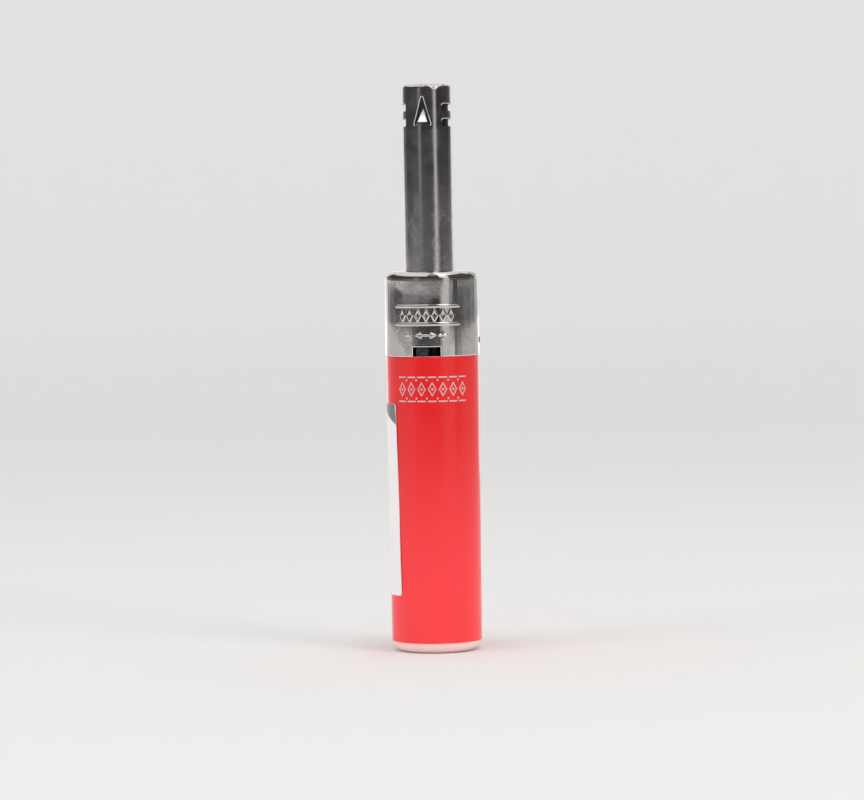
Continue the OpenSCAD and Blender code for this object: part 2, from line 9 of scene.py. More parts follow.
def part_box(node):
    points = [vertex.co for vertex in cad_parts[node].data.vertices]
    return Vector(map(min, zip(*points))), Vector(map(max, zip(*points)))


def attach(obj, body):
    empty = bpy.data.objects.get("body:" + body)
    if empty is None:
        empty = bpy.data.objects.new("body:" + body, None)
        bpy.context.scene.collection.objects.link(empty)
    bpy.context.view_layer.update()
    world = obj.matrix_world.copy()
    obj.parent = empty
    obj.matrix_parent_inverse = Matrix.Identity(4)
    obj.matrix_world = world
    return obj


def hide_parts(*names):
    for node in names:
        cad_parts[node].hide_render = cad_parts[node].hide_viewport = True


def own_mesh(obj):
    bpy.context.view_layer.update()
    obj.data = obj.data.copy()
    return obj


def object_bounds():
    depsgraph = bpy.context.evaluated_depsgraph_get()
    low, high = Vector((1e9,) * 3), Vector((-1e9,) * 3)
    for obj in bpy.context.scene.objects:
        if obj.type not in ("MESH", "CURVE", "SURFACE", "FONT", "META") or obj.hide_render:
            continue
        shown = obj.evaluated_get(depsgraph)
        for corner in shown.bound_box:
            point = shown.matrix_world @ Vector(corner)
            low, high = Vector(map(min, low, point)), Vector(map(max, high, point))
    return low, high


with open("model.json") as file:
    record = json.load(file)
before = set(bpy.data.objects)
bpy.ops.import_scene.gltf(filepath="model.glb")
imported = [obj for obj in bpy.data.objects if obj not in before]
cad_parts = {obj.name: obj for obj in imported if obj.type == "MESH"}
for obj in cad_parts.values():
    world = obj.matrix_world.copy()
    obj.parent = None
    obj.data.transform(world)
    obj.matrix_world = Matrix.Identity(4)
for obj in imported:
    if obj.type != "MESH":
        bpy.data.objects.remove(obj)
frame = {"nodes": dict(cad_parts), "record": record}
cadLow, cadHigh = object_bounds()
mm = 0.001
record = frame["record"]
slotOfNode = {row["node"]: row["material_slot"] for row in record["subparts"]}
print("stage: frame loaded")


def frontPoint(radius, angle, z, axisY=0.0):  # angle in degrees from the front, positive to +X
    turn = math.radians(angle)
    return Vector((radius * math.sin(turn), axisY - radius * math.cos(turn), z))


def arcPoints(centreR, centreZ, radius, start, end, steps):  # round stretch of a half section
    points = []
    for i in range(steps + 1):
        turn = math.radians(start + (end - start) * i / steps)
        points.append((centreR + radius * math.cos(turn), centreZ + radius * math.sin(turn)))
    return points


def stepsBetween(low, high, size):
    count = max(1, math.ceil((high - low) / size - 1e-6))
    return [low + (high - low) * i / count for i in range(count + 1)]


def smoothStep(value, low, high):
    t = min(1.0, max(0.0, (value - low) / (high - low)))
    return t * t * (3 - 2 * t)


def placeObject(name, data):
    placed = bpy.data.objects.new(name, data)
    bpy.context.scene.collection.objects.link(placed)
    return placed


def addObject(name, mesh, body):
    piece = placeObject(name, mesh)
    if body:
        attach(piece, body)
    return piece


def finishShading(mesh, sharpAngle=35):
    for face in mesh.polygons:
        face.use_smooth = True
    mesh.set_sharp_from_angle(angle=math.radians(sharpAngle))


def meshFrom(build, name):
    bmesh.ops.recalc_face_normals(build, faces=build.faces)
    mesh = bpy.data.meshes.new(name)
    build.to_mesh(mesh)
    build.free()
    return mesh


def latheMesh(name, section, angles, axisY=0.0):  # turns a closed half section, in millimetres
    build = bmesh.new()
    rings = []
    for radius, z in section:
        if radius < 1e-6:
            pole = build.verts.new((0, axisY, z * mm))
            rings.append([pole] * len(angles))
        else:
            rings.append([build.verts.new(frontPoint(radius * mm, a, z * mm, axisY)) for a in angles])
    for i, ring in enumerate(rings):
        after = rings[(i + 1) % len(rings)]
        if ring[0] is ring[1] and after[0] is after[1]:
            continue
        for j in range(len(angles)):
            k = (j + 1) % len(angles)
            corners = [ring[j], ring[k], after[k], after[j]]
            unique = [v for n, v in enumerate(corners) if v not in corners[:n]]
            build.faces.new(unique)
    return meshFrom(build, name)


def evenAngles(count):
    return [360 * i / count for i in range(count)]


def bandStations(angle0, angle1, corner, radius, steps):  # angles, each with how far the edges draw in
    stations = []
    turn = math.degrees(corner / radius)
    for i in range(7 if corner else 1):
        t = math.radians(15 * i)
        stations.append((angle0 + turn * (1 - math.cos(t)), corner * (1 - math.sin(t))))
    middle = [(a, 0.0) for a in stepsBetween(angle0 + turn, angle1 - turn, (angle1 - angle0) / steps)]
    ends = [(angle0 + angle1 - a, inset) for a, inset in reversed(stations)]
    return stations[:-1] + middle + ends[1:] if corner else middle


def skinRings(build, rings, closed=False):  # faces between neighbouring rings, with ends unless closed
    count, sides = len(rings), len(rings[0])
    for i in range(count if closed else count - 1):
        ring, after = rings[i], rings[(i + 1) % count]
        for j in range(sides):
            k = (j + 1) % sides
            build.faces.new([ring[j], ring[k], after[k], after[j]])
    if not closed:
        build.faces.new(rings[0])
        build.faces.new(list(reversed(rings[-1])))


def skinSheet(build, low, high):  # two grids of points made into one sheet with closed rims
    bands = [band for grid in (low, high) for band in zip(grid, grid[1:])]
    bands += [(low[0], high[0]), (low[-1], high[-1])]
    bands += [([row[i] for row in low], [row[i] for row in high]) for i in (0, -1)]
    for row, after in bands:
        for i in range(len(row) - 1):
            build.faces.new([row[i], row[i + 1], after[i + 1], after[i]])


def frontPrism(outline, y0, y1):  # closed prism drawn in XZ and running along Y, in millimetres
    build = bmesh.new()
    skinRings(build, [[build.verts.new((u * mm, y * mm, v * mm)) for u, v in outline] for y in (y0, y1)])
    return meshFrom(build, "cutter")


def bandPrism(ends, heights, radii, axisY=0.0, steps=24, corner=0.0):  # sector of a ring, in millimetres
    build = bmesh.new()
    rings = []
    for a, inset in bandStations(*ends, corner, radii[1], steps):
        low, high = heights[0] + inset, heights[1] - inset
        section = ((radii[0], low), (radii[1], low), (radii[1], high), (radii[0], high))
        rings.append([build.verts.new(frontPoint(r * mm, a, z * mm, axisY)) for r, z in section])
    skinRings(build, rings)
    return meshFrom(build, "cutter")


def applyModifiers(piece):
    graph = bpy.context.evaluated_depsgraph_get()
    baked = bpy.data.meshes.new_from_object(piece.evaluated_get(graph))
    old = piece.data
    piece.modifiers.clear()
    piece.data = baked
    bpy.data.meshes.remove(old)


def cutAway(piece, cutters):  # takes the closed cutter meshes out of the piece
    for mesh in cutters:
        cutter = placeObject("cutter", mesh)
        change = piece.modifiers.new("cut", "BOOLEAN")
        change.operation = "DIFFERENCE"
        change.solver = "EXACT"
        change.object = cutter
        applyModifiers(piece)
        bpy.data.objects.remove(cutter)
        bpy.data.meshes.remove(mesh)


def roundEdges(piece, width, segments=2, angle=40):
    change = piece.modifiers.new("round", "BEVEL")
    change.width = width
    change.segments = segments
    change.limit_method = "ANGLE"
    change.angle_limit = math.radians(angle)
    change.use_clamp_overlap = True
    applyModifiers(piece)


def mergeTiny(piece):  # joins points that a cut or a clamped edge left on top of each other
    build = bmesh.new()
    build.from_mesh(piece.data)
    bmesh.ops.remove_doubles(build, verts=build.verts, dist=1e-6)
    bmesh.ops.dissolve_degenerate(build, edges=build.edges, dist=1e-6)
    build.to_mesh(piece.data)
    build.free()


def boxOutline(half, low, high):
    return [(-half, low), (half, low), (half, high), (-half, high)]


def newGroup(name, inputs, outputs):
    group = bpy.data.node_groups.new(name, "ShaderNodeTree")
    for label, default in inputs:
        socket = group.interface.new_socket(name=label, in_out="INPUT", socket_type="NodeSocketFloat")
        socket.default_value = default
    for label in outputs:
        group.interface.new_socket(name=label, in_out="OUTPUT", socket_type="NodeSocketFloat")
    return group, group.nodes.new("NodeGroupInput"), group.nodes.new("NodeGroupOutput")


def addNode(tree, kind, inputs, **settings):  # inputs get fixed values or links from other nodes
    node = tree.nodes.new("ShaderNode" + kind)
    for name, value in settings.items():
        setattr(node, name, value)
    for label, value in inputs.items():
        if isinstance(value, bpy.types.NodeSocket):
            tree.links.new(value, node.inputs[label])
        else:
            node.inputs[label].default_value = value
    return node


def mathNode(tree, operation, *values):
    return addNode(tree, "Math", dict(enumerate(values)), operation=operation).outputs[0]


def product(tree, *values):
    value = values[0]
    for factor in values[1:]:
        value = mathNode(tree, "MULTIPLY", value, factor)
    return value


def noiseIn(tree, scale, stretch=(1, 1, 1), detail=3.0, rough=0.5, offset=(0, 0, 0)):  # cells to a millimetre
    place = {"Vector": addNode(tree, "TexCoord", {}).outputs["Object"], "Location": offset,
             "Scale": [s / mm for s in stretch]}
    spot = addNode(tree, "Mapping", place).outputs["Vector"]
    noise = {"Vector": spot, "Scale": scale, "Detail": detail, "Roughness": rough}
    return addNode(tree, "TexNoise", noise).outputs["Fac"]


def rampValue(tree, value, low, high, start=0.0, end=1.0):
    inputs = {"Value": value, "From Min": low, "From Max": high, "To Min": start, "To Max": end}
    return addNode(tree, "MapRange", inputs, interpolation_type="SMOOTHSTEP").outputs["Result"]


def objectHeight(tree):
    coords = addNode(tree, "TexCoord", {})
    return addNode(tree, "SeparateXYZ", {"Vector": coords.outputs["Object"]}).outputs["Z"]


markCuts = {  # between which two noise levels each kind of mark fades in
    "mottle": (0.32, 0.68), "upLines": (0.62, 0.72), "acrossLines": (0.66, 0.76), "linePatch": (0.42, 0.62),
    "edge": (0.52, 0.6), "edgeBroken": (0.35, 0.6), "blobs": (0.45, 0.66), "ridges": (0.3, 0.6),
}
smudgeSpan = (1.0, 0.25)  # how strong finger marks are at their lower and upper height


def makeGrainGroup():  # fine surface unevenness: Height for a bump, Mottle for colour and roughness
    group, given, out = newGroup("surfaceGrain", [("Size", 2.0), ("Patch Size", 0.25)], ["Height", "Mottle"])
    fine = noiseIn(group, given.outputs["Size"], detail=4)
    wide = noiseIn(group, given.outputs["Patch Size"], detail=3, offset=(3, 7, 1))
    group.links.new(fine, out.inputs["Height"])
    group.links.new(rampValue(group, wide, *markCuts["mottle"]), out.inputs["Mottle"])
    return group


def makeScratchGroup():  # hairline scratches that run round and up the piece
    group, given, out = newGroup("hairScratches", [("Size", 1.0), ("Amount", 0.5)], ["Mask"])
    up = noiseIn(group, given.outputs["Size"], stretch=(6, 6, 0.5), detail=2)
    across = noiseIn(group, given.outputs["Size"], stretch=(0.7, 0.7, 9), detail=2, offset=(5, 2, 9))
    up = rampValue(group, up, *markCuts["upLines"])
    across = rampValue(group, across, *markCuts["acrossLines"])
    lines = mathNode(group, "MAXIMUM", up, across)
    patch = rampValue(group, noiseIn(group, 0.22, detail=2, offset=(8, 1, 4)), *markCuts["linePatch"])
    group.links.new(product(group, lines, patch, given.outputs["Amount"]), out.inputs["Mask"])
    return group


def makeWearGroup():  # worn edges, from how sharply the surface turns
    group, given, out = newGroup("edgeWear", [("Amount", 0.5)], ["Mask"])
    turning = addNode(group, "NewGeometry", {}).outputs["Pointiness"]
    edge = rampValue(group, turning, *markCuts["edge"])
    broken = rampValue(group, noiseIn(group, 1.6, detail=4, offset=(2, 2, 6)), *markCuts["edgeBroken"])
    group.links.new(product(group, edge, broken, given.outputs["Amount"]), out.inputs["Mask"])
    return group


def makeSmudgeGroup():  # finger marks and dull patches, stronger between two heights
    group, given, out = newGroup("smudges", [("Size", 0.35), ("Low", 0.0), ("High", 0.1)], ["Mask"])
    blobs = noiseIn(group, given.outputs["Size"], detail=5, rough=0.62, offset=(1, 4, 2))
    ridges = noiseIn(group, 2.6, stretch=(1, 1, 1.6), detail=2, offset=(4, 4, 4))
    span = rampValue(group, objectHeight(group), given.outputs["Low"], given.outputs["High"], *smudgeSpan)
    blobs, ridges = rampValue(group, blobs, *markCuts["blobs"]), rampValue(group, ridges, *markCuts["ridges"])
    group.links.new(product(group, blobs, ridges, span), out.inputs["Mask"])
    return group


grainGroup = makeGrainGroup()
scratchGroup = makeScratchGroup()
wearGroup = makeWearGroup()
smudgeGroup = makeSmudgeGroup()
print("stage: shader groups made")


def mixColor(tree, mask, first, second):
    colors = [(*value, 1) if isinstance(value, tuple) else value for value in (first, second)]
    inputs = {"Factor": mask, "A": colors[0], "B": colors[1]}
    return addNode(tree, "Mix", inputs, data_type="RGBA").outputs["Result"]


def newMaterial(name):
    material = bpy.data.materials.new(name)
    material.use_nodes = True
    return material, material.node_tree, material.node_tree.nodes["Principled BSDF"]


def surfaceMaterial(name, look):  # two close colours, mottled roughness, fine bump, marks
    material, tree, shader = newMaterial(name)
    sockets = {"Metallic": look.get("metallic", 0.0), "IOR": look.get("ior", 1.5), **look.get("sockets", {})}
    for label, value in sockets.items():
        shader.inputs[label].default_value = value
    grain = addNode(tree, "Group", {}, node_tree=grainGroup)
    grain.inputs["Size"].default_value, grain.inputs["Patch Size"].default_value = look["grain"]
    scratch = addNode(tree, "Group", {}, node_tree=scratchGroup)
    scratch.inputs["Size"].default_value = look.get("scratchSize", 1.0)
    scratch.inputs["Amount"].default_value = look.get("scratches", 0.3)
    wear = addNode(tree, "Group", {}, node_tree=wearGroup)
    wear.inputs["Amount"].default_value = look.get("wear", 0.3)
    mottle = grain.outputs["Mottle"]
    color = mixColor(tree, mottle, *look["colors"])
    # painted light: a lighter colour towards the foot stands in for light bounced up from the floor
    if "paintedBounceColor" in look:
        color = mixColor(tree, rampValue(tree, objectHeight(tree), *look["paintedBounceZ"]), color, look["paintedBounceColor"])
    marks = mathNode(tree, "MAXIMUM", scratch.outputs["Mask"], wear.outputs["Mask"])
    color = mixColor(tree, marks, color, look.get("wornColor", look["colors"][1]))
    rough = mathNode(tree, "MULTIPLY_ADD", mottle, look["rough"][1], look["rough"][0])
    rough = mathNode(tree, "MULTIPLY_ADD", marks, markRough, rough)
    if "smudge" in look:
        low, high, amount, size = look["smudge"]
        smudge = addNode(tree, "Group", {}, node_tree=smudgeGroup)
        for label, value in (("Size", size), ("Low", low), ("High", high)):
            smudge.inputs[label].default_value = value
        rough = mathNode(tree, "MULTIPLY_ADD", smudge.outputs["Mask"], amount, rough)
        color = mixColor(tree, smudge.outputs["Mask"], color, look["smudgeColor"])
    tree.links.new(color, shader.inputs["Base Color"])
    tree.links.new(rough, shader.inputs["Roughness"])
    height = mathNode(tree, "SUBTRACT", grain.outputs["Height"], scratch.outputs["Mask"])
    bump = {"Height": height, "Strength": look["bump"][0], "Distance": look["bump"][1] * mm}
    tree.links.new(addNode(tree, "Bump", bump).outputs["Normal"], shader.inputs["Normal"])
    return material


markRough = 0.15  # how much rougher scratches and wear are
looks = {  # rough: lowest and spread; grain: fine and patch size; bump: strength and depth
    "red_sleeve": {
        "colors": ((0.70, 0.010, 0.011), (0.73, 0.012, 0.013)), "rough": (0.15, 0.07), "grain": (0.6, 0.12),
        # the lighter red at the foot is painted light, standing in for light bounced up from the floor
        "bump": (0.08, 0.02), "scratches": 0.1, "wear": 0.1, "paintedBounceColor": (0.91, 0.036, 0.043),
        "paintedBounceZ": (0.045, 0.008)},
    "clear_plastic": {
        "colors": ((0.92, 0.63, 0.61), (0.94, 0.66, 0.64)), "rough": (0.3, 0.1), "grain": (1.2, 0.25),
        "bump": (0.08, 0.02), "scratches": 0.2, "wear": 0.1, "ior": 1.49,
        "sockets": {"Subsurface Weight": 0.25, "Subsurface Radius": (1.0, 0.75, 0.75),
                    "Subsurface Scale": 0.0008}},
    "label_paper": {
        "colors": ((0.84, 0.80, 0.81), (0.855, 0.82, 0.83)), "rough": (0.45, 0.15), "grain": (5.0, 0.5),
        "bump": (0.3, 0.02), "scratches": 0.15, "wear": 0.2, "ior": 1.45},
    "natural_plastic": {
        "colors": ((0.80, 0.79, 0.74), (0.86, 0.85, 0.81)), "rough": (0.38, 0.15), "grain": (3.0, 0.25),
        "bump": (0.2, 0.02), "ior": 1.48},
    "brass": {
        "colors": ((0.72, 0.50, 0.20), (0.80, 0.60, 0.29)), "rough": (0.24, 0.16), "grain": (5.0, 0.25),
        "bump": (0.2, 0.01), "scratches": 0.5, "metallic": 1.0},
    "seal_rubber": {
        "colors": ((0.02, 0.02, 0.02), (0.035, 0.034, 0.033)), "rough": (0.55, 0.2), "grain": (6.0, 0.25),
        "bump": (0.3, 0.02)},
    "bright_steel": {
        "colors": ((0.62, 0.62, 0.63), (0.70, 0.70, 0.72)), "rough": (0.2, 0.15), "grain": (6.0, 0.25),
        "bump": (0.15, 0.01), "scratches": 0.5, "metallic": 1.0},
    "spring_steel": {
        "colors": ((0.45, 0.46, 0.49), (0.56, 0.57, 0.60)), "rough": (0.28, 0.15), "grain": (8.0, 0.25),
        "bump": (0.15, 0.01), "scratches": 0.5, "metallic": 1.0},
    "porous_disc": {
        "colors": ((0.74, 0.66, 0.50), (0.84, 0.78, 0.64)), "rough": (0.8, 0.15), "grain": (7.0, 0.25),
        "bump": (0.8, 0.05), "ior": 1.4},
    "black_plastic": {
        "colors": ((0.014, 0.014, 0.015), (0.024, 0.024, 0.025)), "rough": (0.38, 0.16),
        "grain": (7.0, 0.25), "bump": (0.3, 0.02), "wear": 0.5, "wornColor": (0.06, 0.06, 0.06)},
    "button_plastic": {
        "colors": ((0.016, 0.016, 0.017), (0.028, 0.028, 0.029)), "rough": (0.42, 0.18),
        "grain": (8.0, 0.25), "bump": (0.45, 0.02), "wear": 0.7, "wornColor": (0.07, 0.07, 0.07)},
    "die_cast": {
        "colors": ((0.42, 0.42, 0.44), (0.54, 0.54, 0.56)), "rough": (0.4, 0.2), "grain": (6.0, 0.25),
        "bump": (0.4, 0.02), "wear": 0.6, "metallic": 1.0},
    "nickel_hood": {
        "colors": ((0.64, 0.617, 0.602), (0.70, 0.677, 0.662)), "rough": (0.035, 0.03), "grain": (0.8, 0.3),
        "bump": (0.08, 0.03), "scratches": 0.25, "scratchSize": 1.3, "wear": 0.3,
        "wornColor": (0.75, 0.74, 0.72), "smudge": (0.050, 0.060, 0.1, 0.3),
        "smudgeColor": (0.52, 0.51, 0.50), "metallic": 1.0},
    "tube_steel": {
        "colors": ((0.62, 0.592, 0.588), (0.68, 0.652, 0.648)), "rough": (0.1, 0.07), "grain": (0.9, 0.35),
        "bump": (0.12, 0.025), "scratches": 0.25, "scratchSize": 1.0, "wear": 0.5,
        "wornColor": (0.75, 0.74, 0.73), "smudge": (0.070, 0.086, 0.16, 0.55),
        "smudgeColor": (0.55, 0.54, 0.53), "metallic": 1.0},
    "ceramic": {
        "colors": ((0.72, 0.66, 0.52), (0.80, 0.75, 0.62)), "rough": (0.5, 0.15), "grain": (5.0, 0.25),
        "bump": (0.3, 0.02)},
    "wire_cover": {
        "colors": ((0.45, 0.03, 0.025), (0.55, 0.05, 0.04)), "rough": (0.3, 0.15), "grain": (4.0, 0.25),
        "bump": (0.2, 0.02)},
    "hose_plastic": {
        "colors": ((0.82, 0.79, 0.70), (0.88, 0.86, 0.79)), "rough": (0.3, 0.15), "grain": (3.0, 0.25),
        "bump": (0.2, 0.02), "ior": 1.45, "sockets": {"Subsurface Weight": 0.3, "Subsurface Scale": 0.001}},
    "label_corner_grey": {
        "colors": ((0.22, 0.22, 0.23), (0.30, 0.30, 0.31)), "rough": (0.3, 0.2), "grain": (6.0, 1.5),
        "bump": (0.3, 0.01), "metallic": 0.6},
    # near-white colour: partly bare cut metal, partly a painted highlight along edges that catch light from
    # above
    "cut_edge_and_highlight": {
        "colors": ((0.80, 0.79, 0.78), (0.92, 0.91, 0.90)), "rough": (0.45, 0.15), "grain": (5.0, 1.2),
        "bump": (0.2, 0.01), "scratches": 0.3, "metallic": 0.35},
    # painted highlight: near-white matt colour for the air tongue, standing in for the light it catches from
    # above
    "painted_highlight_steel": {
        "colors": ((0.95, 0.93, 0.92), (0.98, 0.97, 0.96)), "rough": (0.5, 0.1), "grain": (4.0, 0.25),
        "bump": (0.15, 0.01), "scratches": 0.1, "wear": 0.0},
    "soot": {
        "colors": ((0.09, 0.08, 0.075), (0.15, 0.13, 0.12)), "rough": (0.6, 0.2), "grain": (3.0, 0.25),
        "bump": (0.4, 0.02), "scratches": 0.2, "wear": 0.2, "metallic": 0.5},
    "silver_print": {
        "colors": ((0.63, 0.60, 0.61), (0.73, 0.70, 0.71)), "rough": (0.35, 0.15), "grain": (8.0, 0.25),
        "bump": (0.25, 0.006), "scratches": 0.3, "metallic": 0.5},
}
materials = {name: surfaceMaterial(name, look) for name, look in looks.items()}


def giveMaterial(piece, name):
    piece.data.materials.clear()
    piece.data.materials.append(materials[name])


def addPiece(name, mesh, slotName, look=None, sharp=35, node=None, body="body"):  # a finished piece
    if sharp:
        finishShading(mesh, sharp)
    piece = addObject(name, mesh, body)
    giveMaterial(piece, look or slotName)
    if node:
        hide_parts(node)
    return piece


for nodeName, cadObject in frame["nodes"].items():
    giveMaterial(cadObject, slotOfNode[nodeName])
print("stage: materials placed on the CAD nodes")

hood = {  # millimetres and degrees, heights from its foot
    "sheet": 0.35, "shoulderRadius": 1.15, "topRadius": 7.935, "roofRings": (5.6, 4.4, 3.0, 1.5, 0.0),
    "fineAngle": 52, "fineStep": 0.065, "fineHeight": 9.6, "notchWidth": 4.85, "notchHeight": 1.65,
    "notchReach": (-12, -3), "windowWidth": 6.8, "windowFoot": 2.6, "windowReach": (3.45, 12),
    "windowCorner": 0.5, "lugAngle": 97, "lugZ": 2.5, "lugWidth": 2.1, "lugLow": 0.6, "lugHigh": 0.65,
    "lugReach": (6.8, 9), "tubeHole": 4.23, "edge": 0.05, "footBead": 0.065, "footIn": 0.04,
}
stamp = {  # pressed marks: s across the front, z up from the hood's foot, stroke is half a line's width
    "height": 0.13, "soft": (0.07, 0.1), "beads": {"half": 5.8, "z": (5.5, 8.52), "stroke": 0.18},
    "lozenges": {"count": 7, "pitch": 1.44, "z": 7.01, "half": 0.45, "up": 0.95, "stroke": 0.1},
    "arrow": {"s": -0.1, "z": 3.6, "half": 1.66, "shaft": 0.75, "shaftStroke": 0.07, "head": 0.82,
              "headHalf": 0.38, "notch": 0.1, "stroke": 0.05},
    "minus": {"s": (-3.75, -2.95), "stroke": 0.05},
    "plus": {"s": 2.85, "half": 0.65, "up": 0.6, "stroke": 0.1},
    "ribs": {"half": 2.1, "low": 2.0, "high": 3.0, "pitch": 0.34, "height": 0.008},
}
hoodLow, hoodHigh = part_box("hood")
tubeLow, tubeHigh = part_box("flame_tube")
tubeAxisY = (tubeLow.y + tubeHigh.y) / 2
hoodFootR = hoodHigh.x / mm
hoodFootZ = hoodLow.z / mm
hoodTopZ = hoodHigh.z / mm
hoodSide = hoodFootR - hood["topRadius"]
shoulderZ = hoodTopZ - hood["shoulderRadius"]


def hoodRadiusAt(z):
    return hoodFootR - hoodSide * (z - hoodFootZ) / (shoulderZ - hoodFootZ)


def lineDistance(s, z, ends):  # distance from a stroke's centre line
    (s0, z0), (s1, z1) = ends
    length = (s1 - s0) ** 2 + (z1 - z0) ** 2
    t = max(0.0, min(1.0, ((s - s0) * (s1 - s0) + (z - z0) * (z1 - z0)) / length))
    return math.hypot(s - s0 - t * (s1 - s0), z - z0 - t * (z1 - z0))


def stampStrokes():  # two long beads, a row of lozenges, then minus, arrow and plus
    beads, row, arrow, minus, plus = (stamp[name] for name in ("beads", "lozenges", "arrow", "minus", "plus"))
    found = [(((-beads["half"], z), (beads["half"], z)), beads["stroke"]) for z in beads["z"]]
    for i in range(row["count"]):
        s, z = row["pitch"] * (i - (row["count"] - 1) / 2), row["z"]
        tips = [(s - row["half"], z), (s, z + row["up"]), (s + row["half"], z), (s, z - row["up"])]
        found += [((tips[k], tips[(k + 1) % 4]), row["stroke"]) for k in range(4)]
    s, z = arrow["s"], arrow["z"]
    found.append((((s - arrow["shaft"], z), (s + arrow["shaft"], z)), arrow["shaftStroke"]))
    for side in (-1, 1):
        tip, root = (s + side * arrow["half"], z), s + side * (arrow["half"] - arrow["head"])
        for barb in ((root, z - arrow["headHalf"]), (root, z + arrow["headHalf"])):
            found.append(((tip, barb), arrow["stroke"]))
            found.append(((barb, (root - side * arrow["notch"], z)), arrow["stroke"]))
    found.append((tuple((end, z) for end in minus["s"]), minus["stroke"]))
    found.append((((plus["s"] - plus["half"], z), (plus["s"] + plus["half"], z)), plus["stroke"]))
    found.append((((plus["s"], z - plus["up"]), (plus["s"], z + plus["up"])), plus["stroke"]))
    return found


strokes = stampStrokes()


def stampLift(angle, z):  # how far the sheet stands out, in millimetres
    s = math.radians(angle) * hoodFootR
    lift, (inner, outer) = 0.0, stamp["soft"]
    for ends, half in strokes:
        near = lineDistance(s, z, ends)
        if near < half + outer:
            lift = max(lift, 1 - smoothStep(near, half - inner, half + outer))
    ribs = stamp["ribs"]
    inside = smoothStep(ribs["half"] - abs(s), 0, 0.15) * smoothStep(z, ribs["low"], ribs["low"] + 0.1)
    inside *= 1 - smoothStep(z, ribs["high"] - 0.1, ribs["high"])
    return lift * stamp["height"] + inside * ribs["height"] * math.cos(math.tau * s / ribs["pitch"])


def wireRing(build, centre, across, outward, radius, sides):
    turns = [math.tau * k / sides for k in range(sides)]
    spots = [centre + radius * (math.cos(t) * across + math.sin(t) * outward) for t in turns]
    return [build.verts.new(spot) for spot in spots]


def beadAlong(build, points, radius, closed=False, axisY=0.0):  # thin round bead along a path on a round wall
    rings = []
    count = len(points)
    for i, point in enumerate(points):
        before = points[(i - 1) % count] if closed else points[max(i - 1, 0)]
        after = points[(i + 1) % count] if closed else points[min(i + 1, count - 1)]
        along = (after - before).normalized()
        outward = Vector((point.x, point.y - axisY, 0)).normalized()
        across = along.cross(outward).normalized()
        outward = across.cross(along)
        rings.append(wireRing(build, point, across, outward, radius, 8))
    skinRings(build, rings, closed)


def makeHood():
    sheet, corner = hood["sheet"], hood["shoulderRadius"]
    fineTop = hoodFootZ + hood["fineHeight"]
    heights = stepsBetween(hoodFootZ, fineTop, hood["fineStep"]) + stepsBetween(fineTop, shoulderZ, 0.4)[1:]
    outer = [(hoodRadiusAt(z), z) for z in heights]
    outer += arcPoints(hood["topRadius"] - corner, shoulderZ, corner, 0, 90, 14)[1:]
    outer += [(r, hoodTopZ) for r in hood["roofRings"]]
    inner = [(0.0, hoodTopZ - sheet), (4.0, hoodTopZ - sheet)]
    inner += arcPoints(hood["topRadius"] - corner, shoulderZ, corner - sheet, 90, 0, 8)
    inner += [(hoodFootR - sheet, hoodFootZ)]
    fine = hood["fineAngle"]
    fineTurn = math.degrees(hood["fineStep"] / hoodFootR)
    angles = stepsBetween(-fine, fine, fineTurn) + stepsBetween(fine, 360 - fine, 3.0)[1:-1]
    piece = addObject("hoodShell", latheMesh("hoodShell", outer + inner, angles), "body")
    notch = boxOutline(hood["notchWidth"] / 2, hoodFootZ - 1, hoodFootZ + hood["notchHeight"])
    half, corner = hood["windowWidth"] / 2, hood["windowCorner"]
    windowFoot = hoodFootZ + hood["windowFoot"]
    window = arcPoints(half - corner, windowFoot + corner, corner, -90, 0, 8)
    window += [(half, hoodTopZ + 1), (-half, hoodTopZ + 1)]
    window += arcPoints(corner - half, windowFoot + corner, corner, 180, 270, 8)
    cutters = [frontPrism(notch, *hood["notchReach"]), frontPrism(window, *hood["windowReach"])]
    hole, under, over = hood["tubeHole"], hoodTopZ - 2, hoodTopZ + 1
    bore = [(0.0, under), (hole, under), (hole, over), (0.0, over)]
    cutters.append(latheMesh("cutter", bore, evenAngles(128), tubeAxisY))
    lugTurn, lugZ = math.degrees(hood["lugWidth"] / 2 / hoodFootR), hoodFootZ + hood["lugZ"]
    for middle in (-hood["lugAngle"], hood["lugAngle"]):
        cutters.append(bandPrism((middle - lugTurn, middle + lugTurn), (lugZ - hood["lugLow"],
                                 lugZ + hood["lugHigh"]), hood["lugReach"], steps=6))
    cutAway(piece, cutters)
    roundEdges(piece, hood["edge"] * mm)
    mergeTiny(piece)
    for vertex in piece.data.vertices:
        angle = math.degrees(math.atan2(vertex.co.x, -vertex.co.y))
        z = vertex.co.z / mm - hoodFootZ
        outside = vertex.co.xy.length > (hoodRadiusAt(z + hoodFootZ) - 0.1) * mm
        if outside and abs(angle) < fine and z < hood["fineHeight"]:
            vertex.co.xy *= 1 + stampLift(angle, z) * mm / vertex.co.xy.length
    finishShading(piece.data, 38)
    giveMaterial(piece, "nickel_hood")
    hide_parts("hood")


